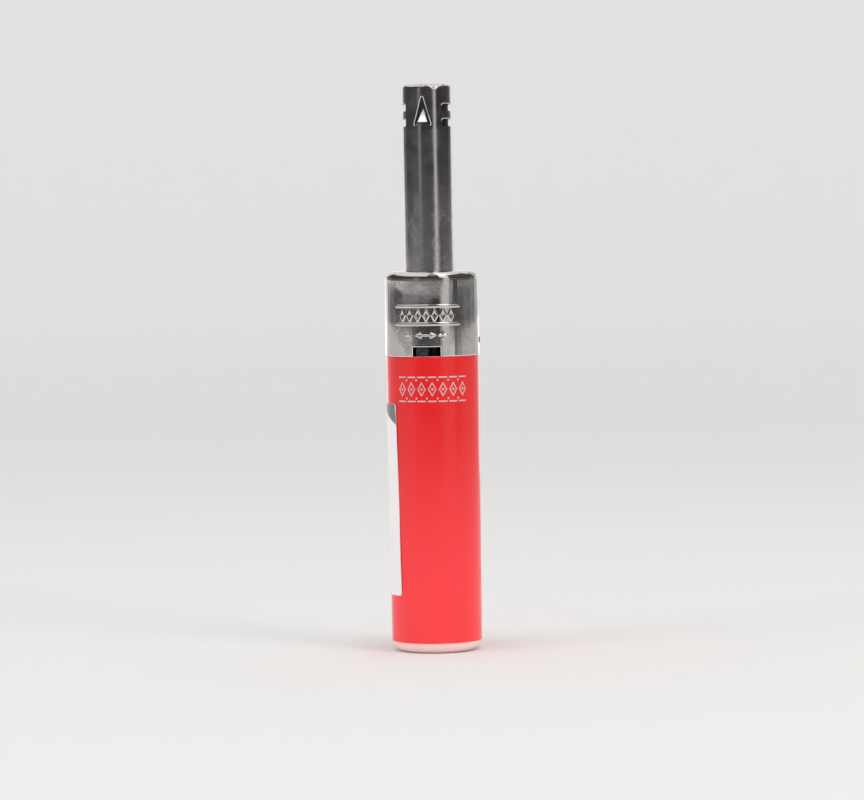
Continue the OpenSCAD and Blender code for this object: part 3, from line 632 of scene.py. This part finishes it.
def makeHoodEdge():  # bead round the hood's foot and its notch; its bright colour is partly the cut edge and partly a painted highlight
    bead = hood["footBead"]
    turn = math.degrees(math.asin((hood["notchWidth"] / 2 + bead * 0.4) / hoodFootR))
    low, high = hoodFootZ + bead, hoodFootZ + hood["notchHeight"] + bead * 0.6
    route = [(a, low) for a in stepsBetween(turn, 360 - turn, 2)]
    route += [(-turn, z) for z in stepsBetween(low, high, 0.25)[1:]]
    route += [(a, high) for a in stepsBetween(-turn, turn, 2)[1:]]
    route += [(turn, z) for z in reversed(stepsBetween(low, high, 0.25)[1:-1])]
    points = [frontPoint((hoodRadiusAt(z) - hood["footIn"]) * mm, a, z * mm) for a, z in route]
    build = bmesh.new()
    beadAlong(build, points, bead * mm, True)
    addPiece("hoodEdge", meshFrom(build, "hoodEdge"), "nickel_hood", "cut_edge_and_highlight", 60)


makeHood()
makeHoodEdge()
print("stage: hood made")

sleeve = {"footRadius": 7.7, "edge": 0.06, "rim": 0.15}
sleeveLow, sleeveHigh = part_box("colour_sleeve")
sleeveFootZ = sleeveLow.z / mm
sleeveTopZ = sleeveHigh.z / mm
sleeveTopR = sleeveHigh.x / mm


def sleeveRadiusAt(z):
    widening = sleeveTopR - sleeve["footRadius"]
    return sleeve["footRadius"] + widening * (z - sleeveFootZ) / (sleeveTopZ - sleeveFootZ)


def makeSleeve():
    edge, rim, footR = sleeve["edge"], sleeve["rim"], sleeve["footRadius"]
    section = [(footR - rim, sleeveFootZ), (footR - edge, sleeveFootZ), (footR, sleeveFootZ + edge)]
    section += [(sleeveRadiusAt(z), z) for z in stepsBetween(sleeveFootZ + 1, sleeveTopZ - 1, 1.6)]
    section += [(sleeveTopR, sleeveTopZ - edge), (sleeveTopR - edge, sleeveTopZ)]
    section += [(sleeveTopR - rim, sleeveTopZ)]
    mesh = latheMesh("redSleeve", section, evenAngles(256))
    addPiece("redSleeve", mesh, "red_sleeve", node="colour_sleeve")


silverPrint = {  # millimetres, down from the sleeve's top; turn and half are degrees round it
    "down": (7.49, 3.42), "turn": 6.2, "half": 46.7, "count": 7, "lift": 0.004, "thick": 0.012,
    "lozenge": (0.72, 1.25), "hollow": 0.74, "heart": (0.2, 0.2), "dot": (0.16, 0.16), "dotHole": 0.05,
    "dotIn": 0.5, "lineHalf": 0.11, "lineGap": 0.18,
}


def wrapStrip(build, pairs, closed):  # thin raised strip on the sleeve between two edges
    lift, top = silverPrint["lift"], silverPrint["lift"] + silverPrint["thick"]

    def at(u, z, height):
        radius, turn = sleeveRadiusAt(z) + height, math.degrees(u / sleeveTopR) + silverPrint["turn"]
        return build.verts.new(frontPoint(radius * mm, turn, z * mm))
    rings = [[at(*outer, lift), at(*outer, top), at(*inner, top), at(*inner, lift)] for outer, inner in pairs]
    skinRings(build, rings, closed)


def ringPatch(build, centre, radii, inner, sides):  # closed band between an outline and its smaller copy
    def corner(k, scale):
        a = math.tau * k / sides
        return centre[0] + radii[0] * scale * math.sin(a), centre[1] + radii[1] * scale * math.cos(a)
    wrapStrip(build, [(corner(k, 1), corner(k, inner)) for k in range(sides)], True)


def makePrint():  # silver band of lozenges and dots between two broken lines
    build = bmesh.new()
    low, high = (sleeveTopZ - down for down in silverPrint["down"])
    half = math.radians(silverPrint["half"]) * sleeveTopR
    count, hole, gap = silverPrint["count"], silverPrint["dotHole"], silverPrint["lineGap"]
    for i in range(count):
        centre = (-half + half * (2 * i + 1) / count, (low + high) / 2)
        ringPatch(build, centre, silverPrint["lozenge"], silverPrint["hollow"], 4)
        ringPatch(build, centre, silverPrint["heart"], hole, 12)
    for i in range(count - 1):
        for z in (low + silverPrint["dotIn"], high - silverPrint["dotIn"]):
            ringPatch(build, (-half + half * (2 * i + 2) / count, z), silverPrint["dot"], hole, 12)
    for z in (low, high):
        over, under = z + silverPrint["lineHalf"], z - silverPrint["lineHalf"]
        for i in range(count):
            u0 = -half + 2 * half * i / count + gap
            u1 = u0 + 2 * half / count - 2 * gap
            wrapStrip(build, [((u, over), (u, under)) for u in stepsBetween(u0, u1, 0.3)], False)
    addPiece("sleevePrint", meshFrom(build, "sleevePrint"), "red_sleeve", "silver_print", None)


label = {"low": 9.6, "high": 42.2, "tilt": 1.2, "left": -163, "rightTop": -45.5, "rightFoot": -41.0,
         "corner": 0.45, "gap": 0.02, "thick": 0.09, "curl": 0.1, "looseFrom": 0.95}
cornerPatch = {"down": 3.6, "across": 6.6, "lifts": (0.002, 0.006), "steps": 16, "edge": 0.02}
labelHeight = label["high"] - label["low"]


def labelPoint(u, v, extra):  # u across and v up the label, from 0 to 1; extra is millimetres outwards
    left, corner = label["left"], label["corner"]
    right = label["rightFoot"] + (label["rightTop"] - label["rightFoot"]) * v
    squeeze = 0.0
    for gap in (v * labelHeight, (1 - v) * labelHeight):
        if gap < corner:
            squeeze = corner - math.sqrt(max(0, corner ** 2 - (corner - gap) ** 2))
    inset = math.degrees(squeeze / sleeveTopR)
    angle = (left + inset) + (right - left - 2 * inset) * u
    slope = math.tan(math.radians(label["tilt"])) * math.radians(right - left) * sleeveTopR
    z = label["low"] + labelHeight * v + slope * (u - 0.5)
    curl = label["curl"] * smoothStep(u, 0.97, 1.0) * (0.6 + 0.4 * math.sin(9 * v))
    return frontPoint((sleeveRadiusAt(z) + label["gap"] + extra + curl) * mm, angle, z * mm)


def makeLabel():  # paper label, a grid so that it bends round the sleeve
    loose, end = label["looseFrom"], label["corner"] / labelHeight
    columns = stepsBetween(0, loose, 1 / 48) + stepsBetween(loose, 1, 1 / 160)[1:]
    bends = [end * (1 - math.cos(math.radians(11.25 * i))) for i in range(9)]
    rows = bends + stepsBetween(end, 1 - end, 1 / 44)[1:-1] + [1 - v for v in reversed(bends)]
    build = bmesh.new()
    skinSheet(build, *([[build.verts.new(labelPoint(u, v, extra)) for u in columns] for v in rows]
                       for extra in (0, label["thick"])))
    addPiece("paperLabel", meshFrom(build, "paperLabel"), "label_paper", sharp=50, node="blank_label")


def makeLabelCorner():  # dark grey metallic corner patch over the paper, narrowing down to a point
    steps = cornerPatch["steps"]
    width = math.radians(label["rightTop"] - label["left"]) * sleeveTopR
    build = bmesh.new()
    layers = []
    for lift in cornerPatch["lifts"]:
        grid = []
        for j in range(steps + 1):
            v = 1 - max(cornerPatch["down"] * j / steps, cornerPatch["edge"]) / labelHeight
            reach = cornerPatch["across"] * (1 - j / steps) / width
            spots = [labelPoint(1 - reach * i / steps, v, label["thick"] + lift) for i in range(steps + 1)]
            grid.append([build.verts.new(spot) for spot in spots])
        layers.append(grid)
    skinSheet(build, *layers)
    bmesh.ops.remove_doubles(build, verts=build.verts, dist=1e-7)
    addPiece("labelCorner", meshFrom(build, "labelCorner"), "label_paper", "label_corner_grey", 50)


makeSleeve()
makePrint()
makeLabel()
makeLabelCorner()
print("stage: sleeve and label made")

tube = {  # millimetres and degrees; feet and slots are measured down from its top
    "radius": 4.175, "wall": 0.38, "lip": 0.85, "lipRise": 0.6, "mouth": 3.1, "flange": 4.9,
    "flangeThick": 0.45, "turn": -4.2, "openingFoot": 7.05, "openingHeight": 4.9, "openingWidth": 2.95,
    "openingGap": 0.5, "openingTip": 0.24, "openingReach": (-8, -1.5), "slotArc": 85, "slotSide": 90,
    "slotCorner": 0.37, "slotReach": (3.2, 5), "slots": ((7.15, 1.3), (4.58, 1.27)), "petals": 6,
    "petalTurn": -6, "petalCut": (-0.42, 0.5), "petalHalf": 1.2, "petalReach": (2.6, 4.3),
    "edge": 0.04, "burr": 0.055, "sootFrom": 0.5,
}
lipDents = {  # how deep each petal is pressed in, how wide, and how the ends between petals are
    "deep": (0.42, 0.03, 0.05, 0.03, 0.06, 0.03), "middle": 0.55, "narrow": 0.05, "widening": 0.19,
    "reach": 0.85, "endDeep": 0.06, "endWide": 0.06, "endReach": 0.6, "fade": 0.1,
}
tubeRadius = tube["radius"]
faceTurn = Matrix.Translation((0, tubeAxisY, 0)) @ Matrix.Rotation(math.radians(tube["turn"]), 4, "Z")


def lipDent(angle, z):  # how far the lip is pressed in: broad dents in the petals, narrow between
    topZ, reach = tubeHigh.z / mm, lipDents["reach"]
    place = ((angle - tube["petalTurn"]) % 360) / (360 / tube["petals"])
    within = place - int(place)
    deep = lipDents["deep"][int(place) % tube["petals"]]
    wide = lipDents["narrow"] + lipDents["widening"] * smoothStep(z, topZ - reach, topZ)
    middle = deep * math.exp(-((within - lipDents["middle"]) / wide) ** 2)
    middle *= smoothStep(z, topZ - reach, topZ - lipDents["fade"])
    ends = lipDents["endDeep"] * math.exp(-(min(within, 1 - within) / lipDents["endWide"]) ** 2)
    return middle + ends * smoothStep(z, topZ - lipDents["endReach"], topZ - lipDents["fade"])


def pressLip(point):  # moves a point of the lip inward
    local = Vector((point.x, point.y - tubeAxisY))
    if local.length > 2 * mm and point.z > tubeHigh.z - 1.2 * mm:
        angle = math.degrees(math.atan2(local.x, -local.y))
        share = smoothStep(local.length / mm, tube["mouth"], tubeRadius - 0.3)
        local *= 1 - lipDent(angle, point.z / mm) * share * mm / local.length
        point.x, point.y = local.x, local.y + tubeAxisY


def onTube(u, v):  # point on the tube's outside, from millimetres across and up the pierced face
    angle = math.degrees(math.asin(u / tubeRadius)) + tube["turn"]
    return frontPoint(tubeRadius * mm, angle, v * mm, tubeAxisY)


def tongueOpening():  # outline of the cut round the tongue
    foot, half, gap = tubeHigh.z / mm - tube["openingFoot"], tube["openingWidth"] / 2, tube["openingGap"] / 2
    tip = tube["openingTip"]
    right = arcPoints(half - gap, foot + gap, gap, 180, 372, 9)
    right += arcPoints(0, foot + tube["openingHeight"] - tip, tip, 12, 90, 4)
    return right + [(-u, v) for u, v in reversed(right)][1:-1]


def makeTube():
    topZ, paintedBounceZ = tubeHigh.z / mm, tubeLow.z / mm
    radius, wall, lip = tubeRadius, tube["wall"], tube["lip"]
    bend = topZ - tube["lipRise"]
    flange, flangeZ = tube["flange"], paintedBounceZ + tube["flangeThick"]
    outer = [(flange, paintedBounceZ), (flange, flangeZ - 0.1), (flange - 0.1, flangeZ), (radius + 0.1, flangeZ),
             (radius, flangeZ + 0.1)]
    outer += [(radius, z) for z in stepsBetween(paintedBounceZ + 1, bend - 8, 1.0)]
    outer += [(radius, z) for z in stepsBetween(bend - 8, bend, 0.2)[1:]]
    flat = tube["lipRise"] / lip
    outer += [(r, bend + (z - bend) * flat) for r, z in arcPoints(radius - lip, bend, lip, 0, 90, 14)[1:]]
    outer += arcPoints(tube["mouth"], topZ - wall / 2, wall / 2, 90, 270, 6)
    inner = [(r, bend + (z - bend) * (tube["lipRise"] - wall) / (lip - wall))
             for r, z in arcPoints(radius - lip, bend, lip - wall, 90, 0, 8)]
    inner += [(radius - wall, z) for z in reversed(stepsBetween(bend - 8, bend, 0.4)[:-1])]
    inner += [(radius - wall, paintedBounceZ + 1), (radius - wall, paintedBounceZ)]
    mesh = latheMesh("tubeShell", outer + inner, evenAngles(240), tubeAxisY)
    piece = addObject("tubeShell", mesh, "body")
    cutters, burrs = [], bmesh.new()
    arc = tube["slotArc"] / 2
    for side in (-tube["slotSide"], tube["slotSide"]):
        for down, height in tube["slots"]:
            ends = (tube["turn"] + side - arc, tube["turn"] + side + arc)
            low, high = topZ - down, topZ - down + height
            cutters.append(bandPrism(ends, (low, high), tube["slotReach"], tubeAxisY, 24, tube["slotCorner"]))
            stations = bandStations(*ends, tube["slotCorner"], radius, 24)
            rim = [frontPoint(radius * mm, a, (high - inset) * mm, tubeAxisY) for a, inset in stations]
            # bead only along each slot's upper edge; its near-white colour is partly a painted highlight
            beadAlong(burrs, rim, tube["burr"] * 0.9 * mm, False, tubeAxisY)
    opening = tongueOpening()
    cutters.append(frontPrism(opening, *tube["openingReach"]))
    cutters[-1].transform(faceTurn)
    for k in range(tube["petals"]):
        middle = tube["petalTurn"] + 360 * k / tube["petals"]
        heights = [topZ + rise for rise in tube["petalCut"]]
        cutters.append(bandPrism((middle - tube["petalHalf"], middle + tube["petalHalf"]), heights,
                                 tube["petalReach"], tubeAxisY, steps=2))
    cutAway(piece, cutters)
    roundEdges(piece, tube["edge"] * mm, 2, 50)
    mergeTiny(piece)
    for vertex in piece.data.vertices:
        pressLip(vertex.co)
    finishShading(piece.data, 38)
    giveMaterial(piece, "tube_steel")
    piece.data.materials.append(materials["soot"])
    for face in piece.data.polygons:
        inside = Vector((face.center.x, face.center.y - tubeAxisY)).length < (radius - 0.12) * mm
        face.material_index = 1 if inside and face.center.z < (topZ - tube["sootFrom"]) * mm else 0
    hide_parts("flame_tube")
    legEnd = topZ - tube["openingFoot"] + tube["openingGap"]
    legLine = tube["openingWidth"] / 2 - tube["openingGap"] / 2
    rim = [onTube(u, v) for u, v in opening if v > legEnd or abs(u) > legLine]
    beadAlong(burrs, rim, tube["burr"] * mm, False, tubeAxisY)
    # the burr beads' near-white colour is partly a painted highlight
    addPiece("cutBurrs", meshFrom(burrs, "cutBurrs"), "tube_steel", "cut_edge_and_highlight", 60)


tongue = {"length": 2.8, "half": 0.85, "tilt": 28, "bend": 0.5, "root": 0.3, "tip": 0.05, "rows": 24,
          "columns": 12, "paintedHighlightFrom": 0.35}


def makeTongue():  # the pierced air tongue, bent in about its foot
    foot = tubeHigh.z / mm - tube["openingFoot"] + tube["openingGap"] / 2
    hingeR, tilt = tubeRadius - tube["wall"] / 2, math.radians(tongue["tilt"])
    bendR = tongue["bend"] / tilt

    def at(u, along, depth):  # u across, along up the tongue, depth from its middle surface outwards
        turn = tilt * min(1.0, max(0.0, along) / tongue["bend"])
        beyond = min(along, 0.0) + max(0.0, along - tongue["bend"])
        inward = bendR * (1 - math.cos(turn)) + beyond * math.sin(turn)
        up = bendR * math.sin(turn) + beyond * math.cos(turn)
        sag = hingeR - math.sqrt(hingeR ** 2 - u ** 2)
        y = -hingeR + inward + (sag - depth) * math.cos(turn)
        z = foot + up + (depth - sag) * math.sin(turn)
        return build.verts.new((u * mm, y * mm, z * mm))

    build = bmesh.new()
    rows, columns = tongue["rows"], tongue["columns"]
    surfaces = []
    for depth in (-tube["wall"] / 2, tube["wall"] / 2):
        grid = []
        for j in range(rows + 1):
            along = -tongue["root"] + (tongue["length"] + tongue["root"]) * j / rows
            wide = tongue["half"] * (1 - max(0.0, along) / tongue["length"]) + tongue["tip"]
            grid.append([at(wide * (2 * i / columns - 1), along, depth) for i in range(columns + 1)])
        surfaces.append(grid)
    skinSheet(build, *surfaces)
    mesh = meshFrom(build, "airTongue")
    mesh.transform(faceTurn)
    piece = addPiece("airTongue", mesh, "tube_steel", sharp=40)
    # painted highlight: above its bend the tongue gets a near-white matt colour for the light it catches from
    # above
    piece.data.materials.append(materials["painted_highlight_steel"])
    for face in piece.data.polygons:
        face.material_index = 1 if face.center.z > (foot + tongue["paintedHighlightFrom"]) * mm else 0


makeTube()
makeTongue()
print("stage: flame tube made")

tank = {"baseRadius": 7.7, "corner": 1.95, "wall": 1.0, "skin": 0.17, "grooveIn": 3.2, "grooveOut": 4.9,
        "groove": 0.8, "floor": 2.3, "boss": 3.0, "bossTop": 9.0, "bore": 2.0, "flange": 2.6,
        "flangeHeight": 0.6, "mouth": 6.98, "mouthDepth": 2.0, "innerCorner": 0.6, "step": 0.02}


def makeTank():
    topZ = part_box("reservoir")[1].z / mm
    base, corner, innerCorner = tank["baseRadius"], tank["corner"], tank["innerCorner"]
    grooveIn, grooveOut, step = tank["grooveIn"], tank["grooveOut"], tank["step"]
    ledge = sleeveFootZ - step
    innerFoot, mouthFoot = tank["floor"] + innerCorner, topZ - tank["mouthDepth"]

    def wallAt(z):
        return sleeveRadiusAt(z) - tank["skin"]
    section = [(tank["flange"], 0.0), (grooveIn - 0.1, 0.0), (grooveIn, 0.1), (grooveIn, tank["groove"]),
               (grooveOut, tank["groove"]), (grooveOut, 0.1), (grooveOut + 0.1, 0.0)]
    section += arcPoints(base - corner, corner, corner, -90, 0, 14)
    section += [(base, ledge - 2 * step), (base - 2 * step, ledge), (wallAt(sleeveFootZ), ledge)]
    section += [(wallAt(z), z) for z in stepsBetween(sleeveFootZ + 1, topZ, 3.0)]
    section += [(tank["mouth"], topZ), (tank["mouth"], mouthFoot)]
    section += [(wallAt(z) - tank["wall"], z) for z in reversed(stepsBetween(innerFoot, mouthFoot, 3.0))]
    innerR = wallAt(tank["floor"]) - tank["wall"] - innerCorner
    section += arcPoints(innerR, innerFoot, innerCorner, 0, -90, 5)[1:]
    section += [(tank["boss"], tank["floor"]), (tank["boss"], tank["bossTop"])]
    section += [(tank["bore"], tank["bossTop"]), (tank["bore"], tank["flangeHeight"])]
    section += [(tank["flange"], tank["flangeHeight"])]
    mesh = latheMesh("clearTank", section, evenAngles(192))
    addPiece("clearTank", mesh, "clear_plastic", node="reservoir")


makeTank()
print("stage: tank made")

springs = {
    "returnCoil": {"node": "return_spring", "turns": 8, "wire": 0.2},
    "jetCoil": {"node": "jet_spring", "turns": 7, "wire": 0.22},
    "hammerCoil": {"node": "hammer_spring", "turns": 9, "wire": 0.26},
    "refillCoil": {"node": "refill_spring", "turns": 5, "wire": 0.25},
}
coilDetail = {"steps": 20, "sides": 8}  # to a turn, and round the wire
bodyOfNode = {node: body for body, nodes in record["behaviour"]["bodies"].items() for node in nodes}


def coilHeight(turn, turns, rise, wire):  # height of the wire's middle; the first and last turns are closed
    if turn < 1:
        return wire * turn
    if turn > turns - 1:
        return rise - wire * (turns - turn)
    return wire + (turn - 1) * (rise - 2 * wire) / (turns - 2)


def makeCoil(name, values):
    low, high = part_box(values["node"])
    middle, wireR = (low + high) / 2, values["wire"] * mm / 2
    coilR, rise = (high.x - low.x) / 2 - wireR, high.z - low.z - 2 * wireR
    steps, up = coilDetail["steps"], Vector((0, 0, 1))
    build = bmesh.new()
    rings = []
    for i in range(values["turns"] * steps + 1):
        angle = math.tau * i / steps
        out = Vector((math.cos(angle), math.sin(angle), 0))
        z = low.z + wireR + coilHeight(i / steps, values["turns"], rise, 2 * wireR)
        centre = Vector((middle.x, middle.y, z)) + out * coilR
        rings.append(wireRing(build, centre, out, up, wireR, coilDetail["sides"]))
    skinRings(build, rings)
    node = values["node"]
    piece = addPiece(name, meshFrom(build, name), slotOfNode[node], None, 60, node, bodyOfNode[node])
    return piece, middle, high.z - low.z


def makeSprings():  # a coil for each spring that a joint deforms
    for joint in record["behaviour"]["joints"]:
        for row in joint.get("deforming_nodes", []):
            name = next(n for n, values in springs.items() if values["node"] == row["node"])
            piece, middle, length = makeCoil(name, springs[name])
            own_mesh(piece)


makeSprings()
print("stage: springs made")

camera = {"azimuth": 7.4, "distance": 0.583, "eyeHeight": 0.07196, "aimZ": 0.0427, "aimSide": -0.00023,
          "lens": 142.5, "roll": -0.945, "sensor": 36, "clip": (0.01, 20)}


def makeCamera():
    turn = math.radians(camera["azimuth"])
    away = Vector((math.sin(turn), -math.cos(turn), 0))
    side = Vector((math.cos(turn), math.sin(turn), 0))
    aim = Vector((0, 0, camera["aimZ"])) + side * camera["aimSide"]
    eye = aim + away * camera["distance"]
    eye.z = camera["eyeHeight"]
    data = bpy.data.cameras.new("mainCamera")
    data.lens = camera["lens"]
    data.sensor_width = camera["sensor"]
    data.clip_start, data.clip_end = camera["clip"]
    eyeObject = placeObject("mainCamera", data)
    look = (aim - eye).to_track_quat("-Z", "Y").to_matrix().to_4x4()
    tilt = Matrix.Rotation(math.radians(camera["roll"]), 4, "Z")
    eyeObject.matrix_world = Matrix.Translation(eye) @ look @ tilt
    bpy.context.scene.camera = eyeObject


makeCamera()

studio = {
    "floorColor": (0.82, 0.815, 0.805), "farColor": (0.95, 0.945, 0.935), "backColor": (0.87, 0.865, 0.855),
    "worldLevel": 0.65, "glossyLevel": 0.95, "floorRadius": 1.15, "curve": 0.65, "wallHeight": 0.85,
    "farFrom": (0.3, 1.2), "floorRings": (0.1, 0.3, 0.7), "paintRough": 0.75, "paintPatch": 0.004,
    "paintMottle": 0.985, "drumColor": (1, 0.995, 0.99), "glossyColor": (1, 0.99, 0.975),
    "drum": (  # rings: radius and height of both edges, first angle from the camera, strips: end, level
        ((0.4, 0.001), (0.4, 0.0475), -180, ((-150, 1.6), (-138, 0.9), (-120, 0.68), (-50, 0.66),
            (-42, 0.3), (0, 0.09), (18, 0.16), (24, 0.3), (44, 0.64), (56, 0.72), (64, 0.25), (76, 0.4),
            (130, 0.56), (150, 0.65), (180, 1.4))),
        ((0.4, 0.0475), (0.4, 0.0593), -180, ((-150, 1.2), (-138, 0.85), (-124, 0.36), (-108, 0.2),
            (-76, 0.1), (-50, 0.16), (-34, 0.12), (0, 0.05), (19, 0.02), (24, 0.28), (42, 0.62),
            (50, 0.3), (84, 0.1), (108, 0.17), (130, 0.25), (150, 0.5), (180, 0.9))),
        ((0.4, 0.0593), (0.4, 0.0618), -180, ((-138, 1.1), (-70, 0.95), (-10, 0.85), (18, 0.7), (42, 0.7),
            (54, 0.5), (66, 0.05), (130, 0.35), (150, 0.5), (180, 0.9))),
        ((0.4, 0.0618), (0.4, 0.085), -180, ((-142, 1.0), (-118, 0.25), (-72, 0.11), (-44, 0.15),
            (-28, 0.22), (0, 0.13), (26, 0.11), (30, 0.28), (44, 0.65), (52, 0.2), (110, 0.12),
            (134, 0.2), (180, 0.9))),
        ((0.4, 0.085), (0.4, 0.14), -180, ((-144, 0.9), (-118, 0.14), (-44, 0.06), (-30, 0.24),
            (26, 0.05), (30, 0.2), (42, 0.55), (114, 0.045), (138, 0.12), (180, 0.9))),
        ((0.4, 0.14), (0.4, 0.34), -180, ((-138, 0.9), (-12, 0.07), (20, 0.05), (44, 1.1), (128, 0.09),
            (150, 0.5), (180, 0.85))),
        ((0.4, 0.34), (0.25, 0.36), -12, ((20, 0.2), (44, 1.5), (124, 0.1))),
        ((0.25, 0.36), (0.03, 0.36), -12, ((22, 0.35), (70, 1.8))),
    ),
}


def makeSweep():  # floor that curves up into a low wall all round
    floor, curve = studio["floorRadius"], studio["curve"]
    section = [(r, 0.0) for r in (*studio["floorRings"], floor)]
    section += arcPoints(floor, curve, curve, -90, 0, 36)[1:]
    section += [(floor + curve, studio["wallHeight"])]
    build = bmesh.new()
    angles = evenAngles(96)
    centre = build.verts.new((0, 0, cadLow.z))
    rings = [[build.verts.new(frontPoint(r, a, z + cadLow.z)) for a in angles] for r, z in section]
    for j in range(len(angles)):
        k = (j + 1) % len(angles)
        build.faces.new([centre, rings[0][j], rings[0][k]])
        for inner, outer in zip(rings, rings[1:]):
            build.faces.new([inner[j], outer[j], outer[k], inner[k]])
    mesh = meshFrom(build, "studioFloor")
    finishShading(mesh, 60)
    floorPiece = addObject("studioFloor", mesh, None)
    material, tree, shader = newMaterial("floorPaint")
    shader.inputs["Roughness"].default_value = studio["paintRough"]
    shader.inputs["Specular IOR Level"].default_value = 0.0  # matt, so the drum leaves no edge on it
    patches = noiseIn(tree, studio["paintPatch"], detail=3)
    paint = studio["floorColor"]
    color = mixColor(tree, patches, paint, tuple(c * studio["paintMottle"] for c in paint))
    coords = addNode(tree, "TexCoord", {}).outputs["Object"]
    reach = addNode(tree, "VectorMath", {0: coords}, operation="LENGTH").outputs["Value"]
    far = rampValue(tree, reach, *studio["farFrom"])
    color = mixColor(tree, far, color, studio["farColor"])
    tree.links.new(color, shader.inputs["Base Color"])
    floorPiece.data.materials.append(material)


def makeDrum():  # ring of soft boxes and dark cards that only reflections see
    build = bmesh.new()
    levels = build.faces.layers.float.new("level")
    for low, high, start, strips in studio["drum"]:
        for end, level in strips:
            angles = [camera["azimuth"] + a for a in stepsBetween(start, end, 6)]
            start = end
            columns = [[build.verts.new(frontPoint(r, a, z)) for r, z in (low, high)] for a in angles]
            for left, right in zip(columns, columns[1:]):
                build.faces.new([left[0], right[0], right[1], left[1]])[levels] = level
    drum = addObject("studioDrum", meshFrom(build, "studioDrum"), None)
    material, tree, shader = newMaterial("drumLight")
    tree.nodes.remove(shader)
    level = addNode(tree, "Attribute", {}, attribute_name="level").outputs["Fac"]
    glow = addNode(tree, "Emission", {"Color": (*studio["drumColor"], 1), "Strength": level})
    tree.links.new(glow.outputs[0], tree.nodes["Material Output"].inputs["Surface"])
    drum.data.materials.append(material)
    for kind in ("camera", "diffuse", "shadow", "transmission"):
        setattr(drum, "visible_" + kind, False)


def makeWorld():
    world = bpy.data.worlds.new("studioWorld")
    bpy.context.scene.world = world
    world.use_nodes = True
    tree = world.node_tree
    path = addNode(tree, "LightPath", {}).outputs
    backdrop = mathNode(tree, "MAXIMUM", path["Is Camera Ray"], path["Is Transmission Ray"])
    diffuse = tree.nodes["Background"]
    diffuse.inputs["Color"].default_value = (1, 1, 1, 1)
    diffuse.inputs["Strength"].default_value = studio["worldLevel"]
    last = diffuse.outputs[0]
    for choice, color, level in ((path["Is Glossy Ray"], studio["glossyColor"], studio["glossyLevel"]),
                                 (backdrop, studio["backColor"], 1.0)):
        branch = addNode(tree, "Background", {"Color": (*color, 1), "Strength": level}).outputs[0]
        last = addNode(tree, "MixShader", {0: choice, 1: last, 2: branch}).outputs[0]
    tree.links.new(last, tree.nodes["World Output"].inputs["Surface"])


lamps = {
    "topLamp": {"from": (0.05, -0.12, 1.1), "size": 0.45, "power": 2.8},
    "keyLamp": {"from": (0.92, -0.62, 0.36), "size": 0.5, "power": 4.2},
    "fillLamp": {"from": (-0.93, -0.65, 0.32), "size": 0.6, "power": 3.5},
}


def makeLamps():
    aim = Vector((0, 0, (cadLow.z + cadHigh.z) / 2))
    for name, values in lamps.items():
        data = bpy.data.lights.new(name, "AREA")
        data.shape = "SQUARE"
        data.size = values["size"]
        data.energy = values["power"]
        lamp = placeObject(name, data)
        lamp.location = values["from"]
        lamp.rotation_mode = "QUATERNION"
        lamp.rotation_quaternion = (aim - lamp.location).to_track_quat("-Z", "Y")
        lamp.visible_glossy = False


makeSweep()
makeDrum()
makeWorld()
makeLamps()
bpy.context.scene.view_settings.view_transform = "Standard"
print("stage: studio made")
